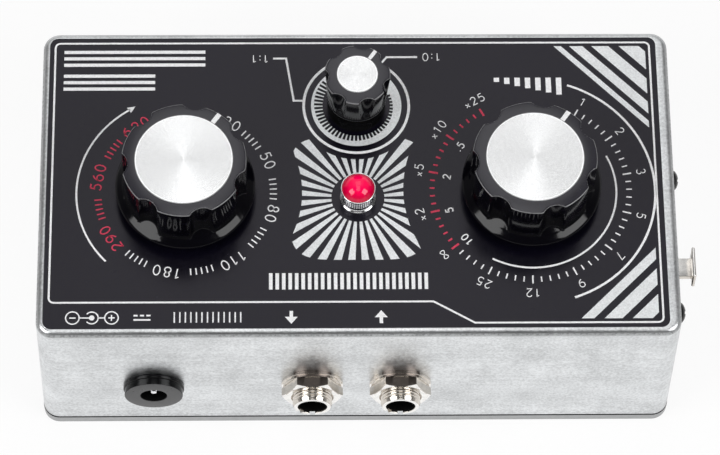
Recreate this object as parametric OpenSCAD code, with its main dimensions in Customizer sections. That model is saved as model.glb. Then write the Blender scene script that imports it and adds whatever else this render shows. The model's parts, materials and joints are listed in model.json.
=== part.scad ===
// Table-top delay pedal: cast box, three turning controls, lamp and sockets.
// The user's side faces -Y, the jack wall faces +Y and the base rests on Z = 0.

/* [Enclosure] */
// Outer width of the box at its bottom edge
box_w = 153; // [135:1:200]
// Outer depth of the box at its bottom edge
box_d = 82; // [76:1:120]
// Overall height of the box, base plate included
box_h = 50; // [46:1:80]
// How far each wall leans in over the full height
draft = 1; // [0:0.1:2]
// Radius of the upright corners
corner_r = 4; // [3:0.1:6]
// Radius of the rounded top edge
edge_r = 1.5; // [0.5:0.1:2.5]
// Thickness of the side walls
wall = 2.2; // [1.5:0.1:3]
// Thickness of the top plate
top_t = 2.5; // [1.5:0.1:3.5]
// Thickness of the base plate
base_t = 3; // [2.5:0.1:5]
// Height of the base plate's locating lip
lip_h = 2; // [1:0.1:4]
// Thickness of that lip
lip_t = 1.6; // [1:0.1:3]
// Radius of the screw posts in the corners
post_r = 3.6; // [3:0.1:4.5]
// Distance of each post's axis from the outer walls
post_in = 5.8; // [5:0.1:8]
// Radius of the base screws
base_screw_r = 1.5; // [1:0.05:2]
// Radius of their countersunk heads
base_head_r = 2.9; // [2.2:0.05:3.5]
// Length of the base screws
base_screw_l = 12; // [8:0.5:20]

/* [Panel] */
// Width of the inked panel on the top
panel_w = 146.5; // [120:0.5:149]
// Place of the inked panel, towards the right
panel_x = 0.6; // [-1:0.1:1]
// Depth of the inked panel
panel_d = 76.8; // [60:0.1:77]
// Corner radius of the inked panel
panel_r = 2; // [0.5:0.1:4]
// Thickness of the ink
ink_t = 0.1; // [0.05:0.01:0.3]

/* [Control places] */
// Distance of the time control from the right-hand wall
time_in = 35.7; // [30:0.1:45]
// Place of the time control, towards the jack wall
time_y = 3.1; // [-5:0.1:8]
// Distance of the feedback control from the left-hand wall
feedback_in = 35.4; // [33:0.1:45]
// Place of the feedback control, towards the jack wall
feedback_y = 2.7; // [-5:0.1:8]
// Place of the blend control, towards the right
blend_x = 0.1; // [-8:0.1:8]
// Distance of the blend control from the front wall
blend_in = 21.1; // [18:0.1:25]
// Direction of the pointers at the start of the turn
pointer_deg = 235; // [0:1:359]

/* [Large knobs] */
// Height of the knob's lower edge above the panel
knob_gap = 3.3; // [3:0.1:6]
// Height of the knob
knob_h = 14.3; // [12:0.1:20]
// Radius of the flared skirt
knob_skirt_r = 16.5; // [15:0.1:18]
// Radius of the fluted body at its top
knob_body_r = 14.6; // [13.5:0.1:15.5]
// Radius of the flutes
knob_flute_r = 3.6; // [2.5:0.1:4.5]
// Depth of the flutes
knob_flute_depth = 1.5; // [0.5:0.1:2]
// Radius of the metal cap
knob_cap_r = 11.5; // [9:0.1:12]
// Radius of the hollow under the knob
knob_hollow_r = 11.4; // [9:0.1:11.8]
// Height of that hollow
knob_hollow_h = 8; // [4:0.1:10]
// Height of the brass insert's upper end above the knob's lower edge
knob_core_h = 10; // [8:0.1:12]

/* [Small knob] */
// Height of the small knob's lower edge above the panel
small_gap = 5.3; // [3:0.1:6]
// Height of the small knob
small_h = 10.9; // [10:0.1:16]
// Radius of its skirt
small_skirt_r = 7; // [6.9:0.05:9]
// Radius of its fluted body at the top
small_body_r = 7.9; // [7.2:0.05:8.5]
// How much narrower its body is at the foot
small_taper = 1; // [0:0.1:1.2]
// Radius of its flutes
small_flute_r = 2.6; // [1.2:0.1:3]
// Depth of its flutes
small_flute_depth = 1.2; // [0.3:0.1:1.4]
// Radius of its metal cap
small_cap_r = 4.9; // [3.5:0.1:5.5]
// Height of its brass insert's upper end above its lower edge
small_core_h = 8.5; // [7:0.1:9.5]

/* [Knob details] */
// Number of flutes round every knob
flutes = 7; // [5:1:12]
// Height of the skirt's upright edge
skirt_edge = 0.8; // [0.4:0.1:2]
// Height at which the sloped skirt meets the flutes
skirt_h = 3; // [2:0.1:5]
// How much wider the large knobs' bodies are at the foot
knob_taper = 0.3; // [0:0.1:0.6]
// Bevel round the top of the knobs
knob_bevel = 0.4; // [0.2:0.1:0.8]
// Thickness of the metal caps
cap_t = 1.2; // [0.8:0.1:1.6]
// How far the caps stand out of the knobs
cap_proud = 0.15; // [0.05:0.05:0.4]
// Width of the pointer groove
pointer_w = 1.1; // [0.6:0.1:2]
// Depth of the pointer groove
pointer_t = 0.3; // [0.1:0.1:0.5]
// Outer radius of the brass inserts
insert_r = 4.5; // [4:0.1:5]
// How far the inserts stay up from the knob's lower edge
insert_up = 1; // [0.5:0.1:2]
// Thickness of the boss round an insert in a hollow knob
boss_t = 2; // [1.5:0.1:3]
// Radius of the set screws
set_r = 1.5; // [1:0.1:2]
// Length of the set screws
set_l = 4; // [3:0.1:4.2]
// Height of the set screws above the knob's lower edge
set_z = 4.6; // [4.4:0.1:5]

/* [Potentiometers] */
// Radius of the shafts
shaft_r = 3; // [2.5:0.05:3.2]
// Radius of the threaded bushings
bush_r = 4.5; // [4:0.1:5]
// How far the bushings stand out of their nuts
bush_proud = 0.4; // [0.1:0.1:0.6]
// Radius of the potentiometer bodies
pot_r = 8.3; // [8:0.1:12]
// Thickness of the face plates
pot_plate_t = 1.6; // [1:0.1:3]
// Height of the rear covers
pot_can_h = 6; // [5:0.1:10]
// Thickness of the rear covers' sheet
pot_can_t = 0.8; // [0.4:0.1:1.2]
// Radius of the rotors
rotor_r = 6.8; // [5:0.1:7]
// Thickness of the rotors
rotor_t = 1.4; // [0.8:0.1:2]
// Thickness of the panel washers
pot_washer_t = 0.5; // [0.3:0.1:1]
// Radius of the panel washers
pot_washer_r = 7; // [6:0.1:8]
// Thickness of the panel nuts
pot_nut_t = 2; // [1.5:0.1:2.3]
// Width across the flats of the panel nuts
pot_nut_af = 12; // [10.5:0.1:14]
// Spacing of the terminals
terminal_pitch = 5; // [4:0.1:5.5]
// Radius of the terminals' pins
terminal_r = 0.45; // [0.3:0.05:0.6]
// Width of the terminals' blades
terminal_w = 1; // [0.8:0.1:1.5]
// Thickness of the terminals' blades
terminal_t = 0.4; // [0.2:0.1:0.6]
// How far the terminal wafers stand out of the covers
wafer_out = 1.6; // [1:0.1:3]
// Thickness of the terminal wafers
wafer_t = 1.2; // [0.8:0.1:2]

/* [Lamp] */
// Place of the lamp, towards the right
lamp_x = 0; // [-8:0.1:8]
// Place of the lamp, towards the jack wall
lamp_y = 4.7; // [0:0.1:10]
// Radius of the red dome
lens_r = 3.8; // [3.5:0.05:3.85]
// Height of the red dome above the rim
lens_h = 2.3; // [1.5:0.1:3]
// Radius of the holder's rim
bezel_rim_r = 4.15; // [4.05:0.05:4.5]
// Height of the rim above the panel
bezel_h = 5.3; // [4.8:0.1:8]
// Radius of the holder's neck
bezel_neck_r = 3.6; // [3.4:0.05:4]
// Radius of the holder's flange
bezel_flange_r = 4.3; // [4.2:0.1:6]
// Thickness of the holder's flange
bezel_flange_t = 0.9; // [0.6:0.1:1.5]
// Radius of the holder's thread
bezel_thread_r = 3.8; // [3.4:0.05:4.2]
// Length of that thread below the panel's face
bezel_below = 7; // [5.5:0.1:8]
// Radius of the holder's bore
bezel_bore_r = 2.95; // [2.8:0.05:3.1]
// Thickness of the holder's nut
bezel_nut_t = 2.2; // [1.5:0.1:2.5]
// Width across the flats of the holder's nut
bezel_nut_af = 10; // [9.5:0.1:12]
// Radius of the light-emitting diode
diode_r = 2.5; // [2:0.05:2.6]
// Spacing of the diode's leads
lead_pitch = 2.54; // [2:0.01:3]
// Radius of the diode's leads
lead_r = 0.3; // [0.2:0.05:0.4]

/* [Power socket] */
// Distance of the power socket from the right-hand wall
dc_in = 27.6; // [20:0.1:35]
// Height of its axis
dc_z = 20.8; // [16:0.1:26]
// Radius of the flange outside the wall
dc_flange_r = 7.2; // [6.8:0.1:8]
// Thickness of that flange
dc_flange_t = 2.5; // [1.5:0.1:4]
// Radius of the threaded barrel
dc_thread_r = 5.9; // [5:0.1:6.2]
// Length of the barrel behind the wall's face
dc_len = 12; // [9:0.1:14]
// Radius of the hole for the plug
dc_bore_r = 2.8; // [2.6:0.05:3]
// Depth of that hole
dc_bore_depth = 9.5; // [8:0.1:11]
// Radius of the centre pin
dc_pin_r = 1.05; // [1:0.05:1.3]
// How far the pin stays behind the mouth
dc_pin_back = 1.4; // [0.5:0.1:3]
// Thickness of the nut inside the wall
dc_nut_t = 2.5; // [2:0.1:4]
// Width across the flats of that nut
dc_nut_af = 14; // [13:0.1:16]
// Length of the solder lugs
lug_l = 5; // [3:0.1:7]

/* [Jacks] */
// Place of the send jack, towards the right
send_x = 10.9; // [9:0.1:14]
// Place of the receive jack, towards the right
receive_x = -10.2; // [-14:0.1:-9]
// Height of the jacks' axes
jack_z = 22.5; // [18:0.1:26]
// Radius of the threaded sleeves
sleeve_r = 4.75; // [4.4:0.05:5]
// Radius of the hole for the plug
jack_bore_r = 3.2; // [3.18:0.01:3.3]
// How far the sleeves stand out of the wall
sleeve_out = 6.4; // [5:0.1:8]
// Width and height of the shoulder behind the wall
shoulder_w = 15; // [13:0.1:17]
// Thickness of that shoulder
shoulder_t = 2.5; // [1.5:0.1:4]
// Length of the frame's leg
leg_l = 24; // [20:0.1:26]
// Width of the leg
leg_w = 12; // [10:0.1:14]
// Thickness of the leg
leg_t = 1.4; // [1:0.1:2]
// Thickness of the jack washers
jack_washer_t = 0.8; // [0.4:0.1:1.2]
// Radius of the jack washers
jack_washer_r = 7.4; // [6.8:0.1:8]
// Thickness of the jack nuts
jack_nut_t = 2.4; // [2:0.1:3]
// Width across the flats of the jack nuts
jack_nut_af = 12.7; // [11:0.1:14]
// Width of the tip springs
spring_w = 5; // [3:0.1:7]
// Thickness of the tip springs
spring_t = 0.5; // [0.3:0.05:0.8]
// Height of the bump on the tip springs
spring_lift = 0.7; // [0.4:0.1:1]
// Distance of the bump from the insulator
spring_reach = 4; // [3:0.1:5]
// Length of the tip springs past the bump
spring_nose = 3; // [2:0.1:4]
// Length of the insulators
insulator_l = 7; // [5:0.1:9]
// How far the tip springs' lugs stand out behind the frame
spring_lug = 2; // [1:0.1:3]
// Width of the notch in the sleeve's rim
notch_w = 1.4; // [0.8:0.1:2]
// Depth of that notch
notch_t = 0.9; // [0.4:0.1:1.5]

/* [Line sockets] */
// Distance of each socket's axis from the wall round its corner
socket_in = 23.5; // [23:0.1:26]
// Height of the sockets' axes
socket_z = 26; // [22:0.1:30]
// Width and height of the flanges inside the wall
socket_flange_w = 28; // [27.5:0.1:30]
// Thickness of the flanges
socket_flange_t = 2; // [1.5:0.1:3]
// Spacing of the screws, sideways and upwards
socket_screw_pitch = 24; // [23:0.1:25]
// Radius of the screws
socket_screw_r = 1.3; // [1:0.05:1.6]
// Radius of the screws' dome heads
socket_head_r = 3.1; // [2:0.05:3.4]
// Height of the dome heads
socket_head_h = 2.5; // [1.5:0.1:3]
// Length of the screws under their heads
socket_screw_l = 7; // [5:0.1:9]
// Outer radius of the input barrel
input_r = 11.7; // [11:0.05:12]
// Inner radius of the input barrel
input_cavity_r = 9.6; // [9.5:0.05:9.9]
// Length of the input barrel behind the wall's face
input_l = 22; // [20:0.1:24]
// Radius of the input insert's nose
input_nose_r = 7.3; // [6.5:0.05:7.4]
// How far the nose stays behind the wall's face
input_nose_back = 5; // [4.8:0.1:6]
// Thickness of the input insert's base
input_base_t = 6; // [5:0.1:8]
// Outer radius of the output barrel
output_r = 10.4; // [9.5:0.05:11]
// Inner radius of the output barrel
output_cavity_r = 8; // [7.9:0.05:8.4]
// Length of the output barrel behind the wall's face
output_l = 18; // [16:0.1:20]
// Thickness of the output insert
output_base_t = 5; // [4:0.1:6]
// Radius of the circle that the pins stand on
pin_circle_r = 4.3; // [4:0.05:4.5]
// Radius of the pins
pin_r = 1.2; // [1:0.05:1.3]
// How far the pins stay behind the wall's face
pin_back = 3.2; // [2:0.1:5]
// How far contacts and pins stand out behind
pin_tail = 5; // [3:0.1:7]

/* [Latch] */
// Width of the press plate
latch_plate_w = 7.8; // [7:0.1:13]
// Height of the press plate
latch_plate_h = 6; // [4:0.1:9]
// How far the plate's middle lies above its stem
latch_plate_up = 1; // [0:0.1:1.5]
// Thickness of the press plate
latch_plate_t = 0.8; // [0.6:0.1:2]
// Distance of the press plate from the wall
latch_out = 4.1; // [3:0.1:8]
// Width of the stem
latch_stem_w = 4.8; // [3:0.1:6]
// Thickness of the stem
latch_stem_t = 1.6; // [1:0.1:2.2]
// Height of the stem's middle above the socket's axis
latch_up = 11; // [10.8:0.1:11.5]
// Depth of the stem behind the wall's face
latch_in = 11.8; // [9:0.1:12.5]
// How far the hook reaches below the stem
latch_hook = 0.95; // [0.7:0.05:1.1]
// Length of the hook
latch_hook_l = 2; // [1:0.1:3]
// Radius of the return spring's turns
coil_r = 0.9; // [0.6:0.05:1]
// Radius of the return spring's wire
coil_wire_r = 0.18; // [0.1:0.02:0.25]
// Number of turns of the return spring
coil_turns = 4; // [3:1:6]
// Length of the return spring at rest
coil_l = 3.7; // [3.5:0.1:4]

/* [Circuit] */
// Thickness of the circuit board
board_t = 1.6; // [1:0.1:2.4]
// Gap between the board and the potentiometers
board_gap = 0.5; // [0.3:0.1:1]
// Margin of the board past the potentiometers, sideways
board_side = 0.5; // [0.3:0.1:2]
// Margin of the board past the potentiometers, to the rear
board_rear = 10; // [8:0.1:12]
// Margin of the board past the blend terminals, to the front
board_front = 1.2; // [0.8:0.1:2]
// Gap between the board and the chips' bodies
chip_gap = 0.4; // [0.3:0.1:1]
// Height of the chips' bodies
chip_h = 3.3; // [2.5:0.1:4]
// Width of the chips' bodies
chip_w = 6.4; // [6:0.1:7]
// Radius of the electrolytic capacitors
can_r = 3.1; // [2:0.1:3.5]
// Height of the electrolytic capacitors
can_h = 11; // [7:0.1:12]
// Length of the film capacitors
film_l = 7.2; // [5:0.1:8]
// Thickness of the film capacitors
film_t = 2.6; // [2:0.1:3.2]
// Height of the film capacitors
film_h = 7; // [5:0.1:9]
// Radius of the resistors
resistor_r = 1.15; // [0.8:0.05:1.4]
// Length of the resistors' bodies
resistor_l = 6.3; // [4:0.1:7]
// How far the chips stand off the middle between two controls
chip_shift = 1.6; // [0:0.1:3]
// Place of the front delay chip, towards the jack wall
chip_front_y = -9; // [-10:0.1:-8]
// Place of the rear delay chip, towards the jack wall
chip_rear_y = 8; // [7:0.1:10]
// Distance of the amplifier chip from the receive jack's wire
amplifier_in = 8; // [7:0.1:9]
// Place of the amplifier chip, towards the jack wall
amplifier_y = -4; // [-5:0.1:0]
// Distance of the inner electrolytic capacitors from the blend control
can_in = 14.5; // [13:0.1:15]
// Spacing of the electrolytic capacitors
can_pitch = 8; // [7.2:0.1:9]
// How far the electrolytic capacitors stand in front of the blend control
can_y = 6; // [5:0.1:8]
// Distance of the first film capacitors from the outer controls
film_in = 6; // [5:0.1:8]
// Spacing of the film capacitors
film_pitch = 4; // [3.4:0.1:5]
// Place of the film capacitors, towards the jack wall
film_y = -17.5; // [-18:0.1:-17]
// Spacing of the resistors
resistor_pitch = 3.4; // [3:0.1:4]
// Place of the front row of resistors, towards the jack wall
resistor_front_y = -19; // [-20:0.1:-18]
// Place of the rear row of resistors, towards the jack wall
resistor_rear_y = -8; // [-9:0.1:-7]
// How far behind the time control the power wires reach the board
power_wire_in = 3; // [2:0.1:5]
// How far in front of the middle the sleeves' wires reach the board
sleeve_wire_in = 1; // [0.5:0.1:2]
// Radius of the insulated wires
wire_r = 0.65; // [0.4:0.05:0.8]

/* [Clearances] */
// Gap round a shaft that turns
run_gap = 0.05; // [0.02:0.01:0.1]
// Gap between pieces that are pressed or screwed together
press_gap = 0.02; // [0.01:0.01:0.05]
// Gap round a piece that passes through a hole
hole_gap = 0.2; // [0.1:0.05:0.3]
// Gap round a piece that slides
slide_gap = 0.3; // [0.2:0.05:0.4]

/* [Hidden] */
$fn = 48;

// Small amount by which cutters reach past the faces that they cut
past = 0.5;
// Facets round the corners of the cast box
box_fn = 32;
// Angle at which the walls lean
lean_deg = atan(draft / box_h);
// Half sizes of the box at a height
function side_x(z) = box_w / 2 - draft * z / box_h;
function rear_y(z) = box_d / 2 - draft * z / box_h;

// Places of the controls and of the sockets
time_at = [box_w / 2 - time_in, time_y];
feedback_at = [feedback_in - box_w / 2, feedback_y];
blend_at = [blend_x, blend_in - box_d / 2];
controls = [time_at, feedback_at, blend_at];
lamp_at = [lamp_x, lamp_y];
dc_x = box_w / 2 - dc_in;
jack_xs = [send_x, receive_x];
input_y = box_d / 2 - socket_in;
output_y = socket_in - box_d / 2;

// Heights under the panel's face, which is level 0 for the controls
panel_z = box_h + ink_t;
under = -(ink_t + top_t);
plate_z = under - pot_plate_t;
can_z = plate_z - pot_can_h;
rotor_z = plate_z - slide_gap - rotor_t;
bush_top = pot_washer_t + pot_nut_t + bush_proud;
wafer_z = can_z + pot_can_t;
terminal_y = -(pot_r + wafer_out);
terminal_drop = 1.4;
board_top = panel_z + can_z - board_gap;
board_z = board_top - board_t;
pin_out = 1.2;
pin_end = board_z - panel_z - pin_out;
wall_inner = wall + press_gap;

// Spots under the board for its parts, and where the wires reach it
delay_chip_x = (time_at[0] + blend_x) / 2 - chip_shift;
delay_chip_spots = [[delay_chip_x, chip_front_y], [delay_chip_x, chip_rear_y]];
amplifier_spot = [receive_x - leg_w / 3 - amplifier_in, amplifier_y];
can_spots = [for (s = [-1, 1], i = [0, 1]) [blend_x + s * (can_in + i * can_pitch), blend_at[1] - can_y]];
film_spots = [
    for (i = [0:2]) [feedback_at[0] + film_in + i * film_pitch, film_y],
    for (i = [0:1]) [time_at[0] - film_in - i * film_pitch, film_y]
];
resistor_spots = [
    for (i = [0:3], y = [resistor_front_y, resistor_rear_y]) [blend_x + (i - 2) * resistor_pitch, y]
];
power_wire_y = time_y + pot_r + power_wire_in;
sleeve_wire_y = -sleeve_wire_in;

// Points on the walls: local X and Y lie in the wall, with Y up, and local Z points outwards
function at_rear(x, z, p) = [
    x - p[0],
    rear_y(z) + p[2] * cos(lean_deg) - p[1] * sin(lean_deg),
    z + p[2] * sin(lean_deg) + p[1] * cos(lean_deg)
];
function at_side(y, z, p) = [
    -side_x(z) - p[2] * cos(lean_deg) + p[1] * sin(lean_deg),
    y - p[0],
    z + p[2] * sin(lean_deg) + p[1] * cos(lean_deg)
];
module on_rear(x, z) translate([x, rear_y(z), z]) rotate([lean_deg, 0, 0]) rotate([90, 0, 180]) children();
module on_side(y, z) translate([-side_x(z), y, z]) rotate([0, lean_deg, 0]) rotate([90, 0, -90]) children();
module on_panel(p) translate([p[0], p[1], panel_z]) children();

// Round piece between two heights
module rod(r, z0, z1) translate([0, 0, z0]) cylinder(r = r, h = z1 - z0);
// Ring between two heights
module ring(r, bore, z0, z1) difference() {
    rod(r, z0, z1);
    rod(bore, z0 - past, z1 + past);
}
// Hexagon nut between two heights
module hex_nut(af, bore, z0, z1) difference() {
    translate([0, 0, z0]) cylinder(r = af / sqrt(3), h = z1 - z0, $fn = 6);
    rod(bore, z0 - past, z1 + past);
}
// Rectangle with round corners
module round_rect(w, d, r) {
    square([w - 2 * r, d], center = true);
    square([w, d - 2 * r], center = true);
    for (sx = [-1, 1], sy = [-1, 1]) translate([sx * (w / 2 - r), sy * (d / 2 - r)]) circle(r);
}
// Block centred sideways, between two heights
module block(w, d, z0, z1) translate([-w / 2, -d / 2, z0]) cube([w, d, z1 - z0]);

// Tube along a path, for wires and the return spring
function unit(v) = v / norm(v);
function heading(path, i) = unit(path[min(i + 1, len(path) - 1)] - path[max(i - 1, 0)]);
module tube(path, r, sides, across) {
    last = (len(path) - 1) * sides;
    points = [
        for (i = [0:len(path) - 1])
            let (t = heading(path, i), u = unit(cross(across, t)), v = cross(t, u))
            for (k = [0:sides - 1]) path[i] + r * (cos(360 * k / sides) * u + sin(360 * k / sides) * v)
    ];
    walls = [
        for (i = [0:len(path) - 2], k = [0:sides - 1])
            let (a = i * sides + k, b = i * sides + (k + 1) % sides)
            each [[a, a + sides, b + sides], [a, b + sides, b]]
    ];
    start = [for (k = [1:sides - 2]) [0, k, k + 1]];
    end = [for (k = [1:sides - 2]) [last, last + k + 1, last + k]];
    polyhedron(points, concat(walls, start, end));
}
function curve(a, b, c, d, t) =
    a * pow(1 - t, 3) + 3 * b * t * pow(1 - t, 2) + 3 * c * t * t * (1 - t) + d * pow(t, 3);
// Wire from a lug to the underside of the board: straight at both ends, one smooth bend between
wire_sides = 8;
wire_steps = 10;
wire_straight = 1;
wire_bend = 9;
function wire_path(lug, away, spot) =
    let (
        foot = [spot[0], spot[1], board_z],
        a = lug + wire_straight * away,
        d = foot - [0, 0, wire_straight]
    )
    concat(
        [lug],
        [for (i = [0:wire_steps]) curve(a, a + wire_bend * away, d - [0, 0, wire_bend], d, i / wire_steps)],
        [foot]
    );
module wire(lug, away, spot, across) tube(wire_path(lug, away, spot), wire_r, wire_sides, across);
rear_away = [0, -cos(lean_deg), -sin(lean_deg)];
side_away = [cos(lean_deg), 0, -sin(lean_deg)];

// Cast block whose walls lean, inset from the outer faces, with a rounded upper edge
module drafted_block(inset, z0, z1, r, edge) hull() {
    for (sx = [-1, 1], sy = [-1, 1]) {
        translate([sx * (side_x(z0) - inset - r), sy * (rear_y(z0) - inset - r), z0])
            cylinder(r = r, h = edge / 10, $fn = box_fn);
        translate([sx * (side_x(z1 - edge) - inset - r), sy * (rear_y(z1 - edge) - inset - r), z1 - edge])
            rotate_extrude($fn = box_fn) intersection() {
                union() {
                    square([r - edge, edge]);
                    translate([r - edge, 0]) circle(edge, $fn = box_fn);
                }
                square([r, edge]);
            }
    }
}
module outer_block() drafted_block(0, base_t, box_h, corner_r, edge_r);
module at_posts() for (sx = [-1, 1], sy = [-1, 1])
    translate([sx * (box_w / 2 - post_in), sy * (box_d / 2 - post_in), 0]) scale([sx, sy, 1]) children();
// Screw posts, joined to both walls of their corner
module posts(gap) at_posts() {
    rod(post_r + gap, base_t - past, box_h - top_t / 2);
    translate([0, -post_r - gap, base_t - past])
        cube([post_in, 2 * (post_r + gap), box_h - top_t / 2 - base_t + past]);
    translate([-post_r - gap, 0, base_t - past])
        cube([2 * (post_r + gap), post_in, box_h - top_t / 2 - base_t + past]);
}
// Slot for the latch's stem and hook
module latch_slot(z0, z1) translate([0, latch_up - latch_hook / 2, 0])
    block(latch_stem_w + 2 * slide_gap, latch_stem_t + latch_hook + 2 * slide_gap, z0, z1);
module at_socket_screws() for (s = [-1, 1])
    translate([s * socket_screw_pitch / 2, -s * socket_screw_pitch / 2, 0]) children();

module enclosure() difference() {
    union() {
        color("lightgray") difference() {
            outer_block();
            drafted_block(wall, base_t - past, box_h - top_t, max(corner_r - wall, 1), 0.5);
        }
        color("lightgray") intersection() {
            outer_block();
            posts(0);
        }
        color("dimgray") translate([panel_x, 0, box_h - top_t / 2])
            linear_extrude(top_t / 2 + ink_t) round_rect(panel_w, panel_d, panel_r);
    }
    at_posts() rod(base_screw_r + press_gap, base_t - past, base_screw_l + past);
    for (p = controls) on_panel(p) rod(bush_r + hole_gap, under - past, past);
    on_panel(lamp_at) rod(bezel_thread_r + hole_gap, under - past, past);
    on_rear(dc_x, dc_z) rod(dc_thread_r + hole_gap, -wall - past, past);
    for (x = jack_xs) on_rear(x, jack_z) rod(sleeve_r + hole_gap, -wall - past, past);
    on_side(input_y, socket_z) {
        rod(input_r + hole_gap, -wall - past, past);
        latch_slot(-wall - past, past);
    }
    on_side(output_y, socket_z) rod(output_r + hole_gap, -wall - past, past);
    for (y = [input_y, output_y])
        on_side(y, socket_z) at_socket_screws() rod(socket_screw_r + hole_gap, -wall - past, past);
}

module base_plate() color("lightgray") difference() {
    union() {
        linear_extrude(base_t) round_rect(box_w, box_d, corner_r);
        translate([0, 0, base_t - past]) linear_extrude(lip_h + past) difference() {
            round_rect(box_w - 2 * lip_out, box_d - 2 * lip_out, corner_r);
            round_rect(box_w - 2 * (lip_out + lip_t), box_d - 2 * (lip_out + lip_t), corner_r);
        }
    }
    translate([0, 0, past]) posts(slide_gap);
    at_posts() {
        rod(base_screw_r + hole_gap, -past, base_t + past);
        base_head(hole_gap, past);
    }
}
lip_out = wall + draft * (base_t + lip_h) / box_h + slide_gap;
base_head_t = base_head_r - base_screw_r;
module base_head(gap, below) {
    translate([0, 0, -below]) cylinder(r = base_head_r + gap, h = below + press_gap);
    cylinder(r1 = base_head_r + gap, r2 = base_screw_r + gap, h = base_head_t);
}
module base_screws() color("silver") at_posts() difference() {
    union() {
        rod(base_screw_r, base_head_t / 2, base_screw_l);
        translate([0, 0, base_screw_seat]) cylinder(r1 = base_head_r, r2 = base_screw_r, h = base_head_t);
    }
    for (a = [0, 90]) rotate(a) block(base_head_r, base_screw_r / 3, 0, base_head_t / 2);
}
base_screw_seat = 0.1;

// Fluted knob with a sloped skirt; its hollow has a boss for the insert
module knob(gap, h, skirt, body, foot, flute, depth, cap, core, hollow_r, hollow_h) color("black") difference() {
    union() {
        rotate_extrude() polygon([
            [0, gap], [skirt, gap], [skirt, gap + skirt_edge], [body - depth, gap + skirt_h], [0, gap + skirt_h]
        ]);
        difference() {
            union() {
                translate([0, 0, gap])
                    cylinder(r1 = foot, r2 = body, h = h - knob_bevel);
                translate([0, 0, gap + h - knob_bevel])
                    cylinder(r1 = body, r2 = body - knob_bevel, h = knob_bevel);
            }
            for (i = [0:flutes - 1]) rotate(pointer_deg + (i + 0.5) * 360 / flutes)
                translate([body + flute - depth, 0, 0]) rod(flute, gap - past, gap + h + past);
        }
    }
    rod(insert_r + press_gap, gap - past, gap + core);
    rod(cap + press_gap, gap + h - cap_t + cap_proud - press_gap, gap + h + past);
    ring(hollow_r, insert_r + boss_t, gap - past, gap + hollow_h);
    rotate(pointer_deg) {
        translate([0, 0, gap + set_z]) rotate([0, 90, 0]) rod(set_r + hole_gap, 0, 2 * skirt);
        translate([cap, -pointer_w / 2, gap + h - pointer_t]) cube([body, pointer_w, pointer_t + past]);
    }
}
module large_knob() knob(knob_gap, knob_h, knob_skirt_r, knob_body_r, knob_body_r + knob_taper,
    knob_flute_r, knob_flute_depth, knob_cap_r, knob_core_h, knob_hollow_r, knob_hollow_h);
module small_knob() knob(small_gap, small_h, small_skirt_r, small_body_r, small_body_r - small_taper,
    small_flute_r, small_flute_depth, small_cap_r, small_core_h, 0, 1);
module cap(gap, h, r) color("whitesmoke") union() {
    rod(r, gap + h - cap_t + cap_proud, gap + h);
    translate([0, 0, gap + h]) cylinder(r1 = r, r2 = r - cap_proud, h = cap_proud);
}
module insert(gap, core) color("goldenrod") difference() {
    ring(insert_r, shaft_r + press_gap, gap + insert_up, gap + core);
    rotate(pointer_deg) translate([0, 0, gap + set_z]) rotate([0, 90, 0])
        rod(set_r + press_gap, 0, 2 * insert_r);
}
module set_screw(gap) color("dimgray") rotate(pointer_deg) translate([0, 0, gap + set_z]) rotate([0, 90, 0])
    difference() {
        rod(set_r, shaft_r + press_gap, shaft_r + press_gap + set_l);
        translate([0, 0, shaft_r + set_l / 2]) cylinder(r = set_r * 0.55, h = set_l, $fn = 6);
    }
module shaft(gap, core) color("silver") union() {
    rod(shaft_r, rotor_z, gap + core - slide_gap);
    rod(rotor_r, rotor_z, rotor_z + rotor_t);
}
module pot_bushing() color("silver") difference() {
    union() {
        rod(pot_r, plate_z, under);
        rod(bush_r, plate_z, bush_top);
    }
    rod(shaft_r + run_gap, plate_z - past, bush_top + past);
}
module pot_can() color("silver") difference() {
    union() {
        rod(pot_r, can_z, plate_z);
        translate([0, terminal_y / 2, 0])
            block(2 * terminal_pitch + 2 * terminal_w, -terminal_y, wafer_z, wafer_z + wafer_t);
    }
    rod(pot_r - pot_can_t, can_z + pot_can_t, plate_z + past);
}
module time_knob() on_panel(time_at) large_knob();
module feedback_knob() on_panel(feedback_at) large_knob();
module blend_knob() on_panel(blend_at) small_knob();
module time_cap() on_panel(time_at) cap(knob_gap, knob_h, knob_cap_r);
module feedback_cap() on_panel(feedback_at) cap(knob_gap, knob_h, knob_cap_r);
module blend_cap() on_panel(blend_at) cap(small_gap, small_h, small_cap_r);
module time_insert() on_panel(time_at) insert(knob_gap, knob_core_h);
module feedback_insert() on_panel(feedback_at) insert(knob_gap, knob_core_h);
module blend_insert() on_panel(blend_at) insert(small_gap, small_core_h);
module time_set_screw() on_panel(time_at) set_screw(knob_gap);
module feedback_set_screw() on_panel(feedback_at) set_screw(knob_gap);
module blend_set_screw() on_panel(blend_at) set_screw(small_gap);
module time_shaft() on_panel(time_at) shaft(knob_gap, knob_core_h);
module feedback_shaft() on_panel(feedback_at) shaft(knob_gap, knob_core_h);
module blend_shaft() on_panel(blend_at) shaft(small_gap, small_core_h);
module time_pot_bushing() on_panel(time_at) pot_bushing();
module feedback_pot_bushing() on_panel(feedback_at) pot_bushing();
module blend_pot_bushing() on_panel(blend_at) pot_bushing();
module time_pot_can() on_panel(time_at) pot_can();
module feedback_pot_can() on_panel(feedback_at) pot_can();
module blend_pot_can() on_panel(blend_at) pot_can();
module pot_nuts() color("silver") for (p = controls) on_panel(p)
    hex_nut(pot_nut_af, bush_r + press_gap, pot_washer_t, pot_washer_t + pot_nut_t);
module pot_washers() color("silver") for (p = controls) on_panel(p)
    ring(pot_washer_r, bush_r + press_gap, 0, pot_washer_t);
module at_terminals() for (p = controls, i = [-1:1]) on_panel(p)
    translate([i * terminal_pitch, terminal_y - terminal_drop, 0]) children();
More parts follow.
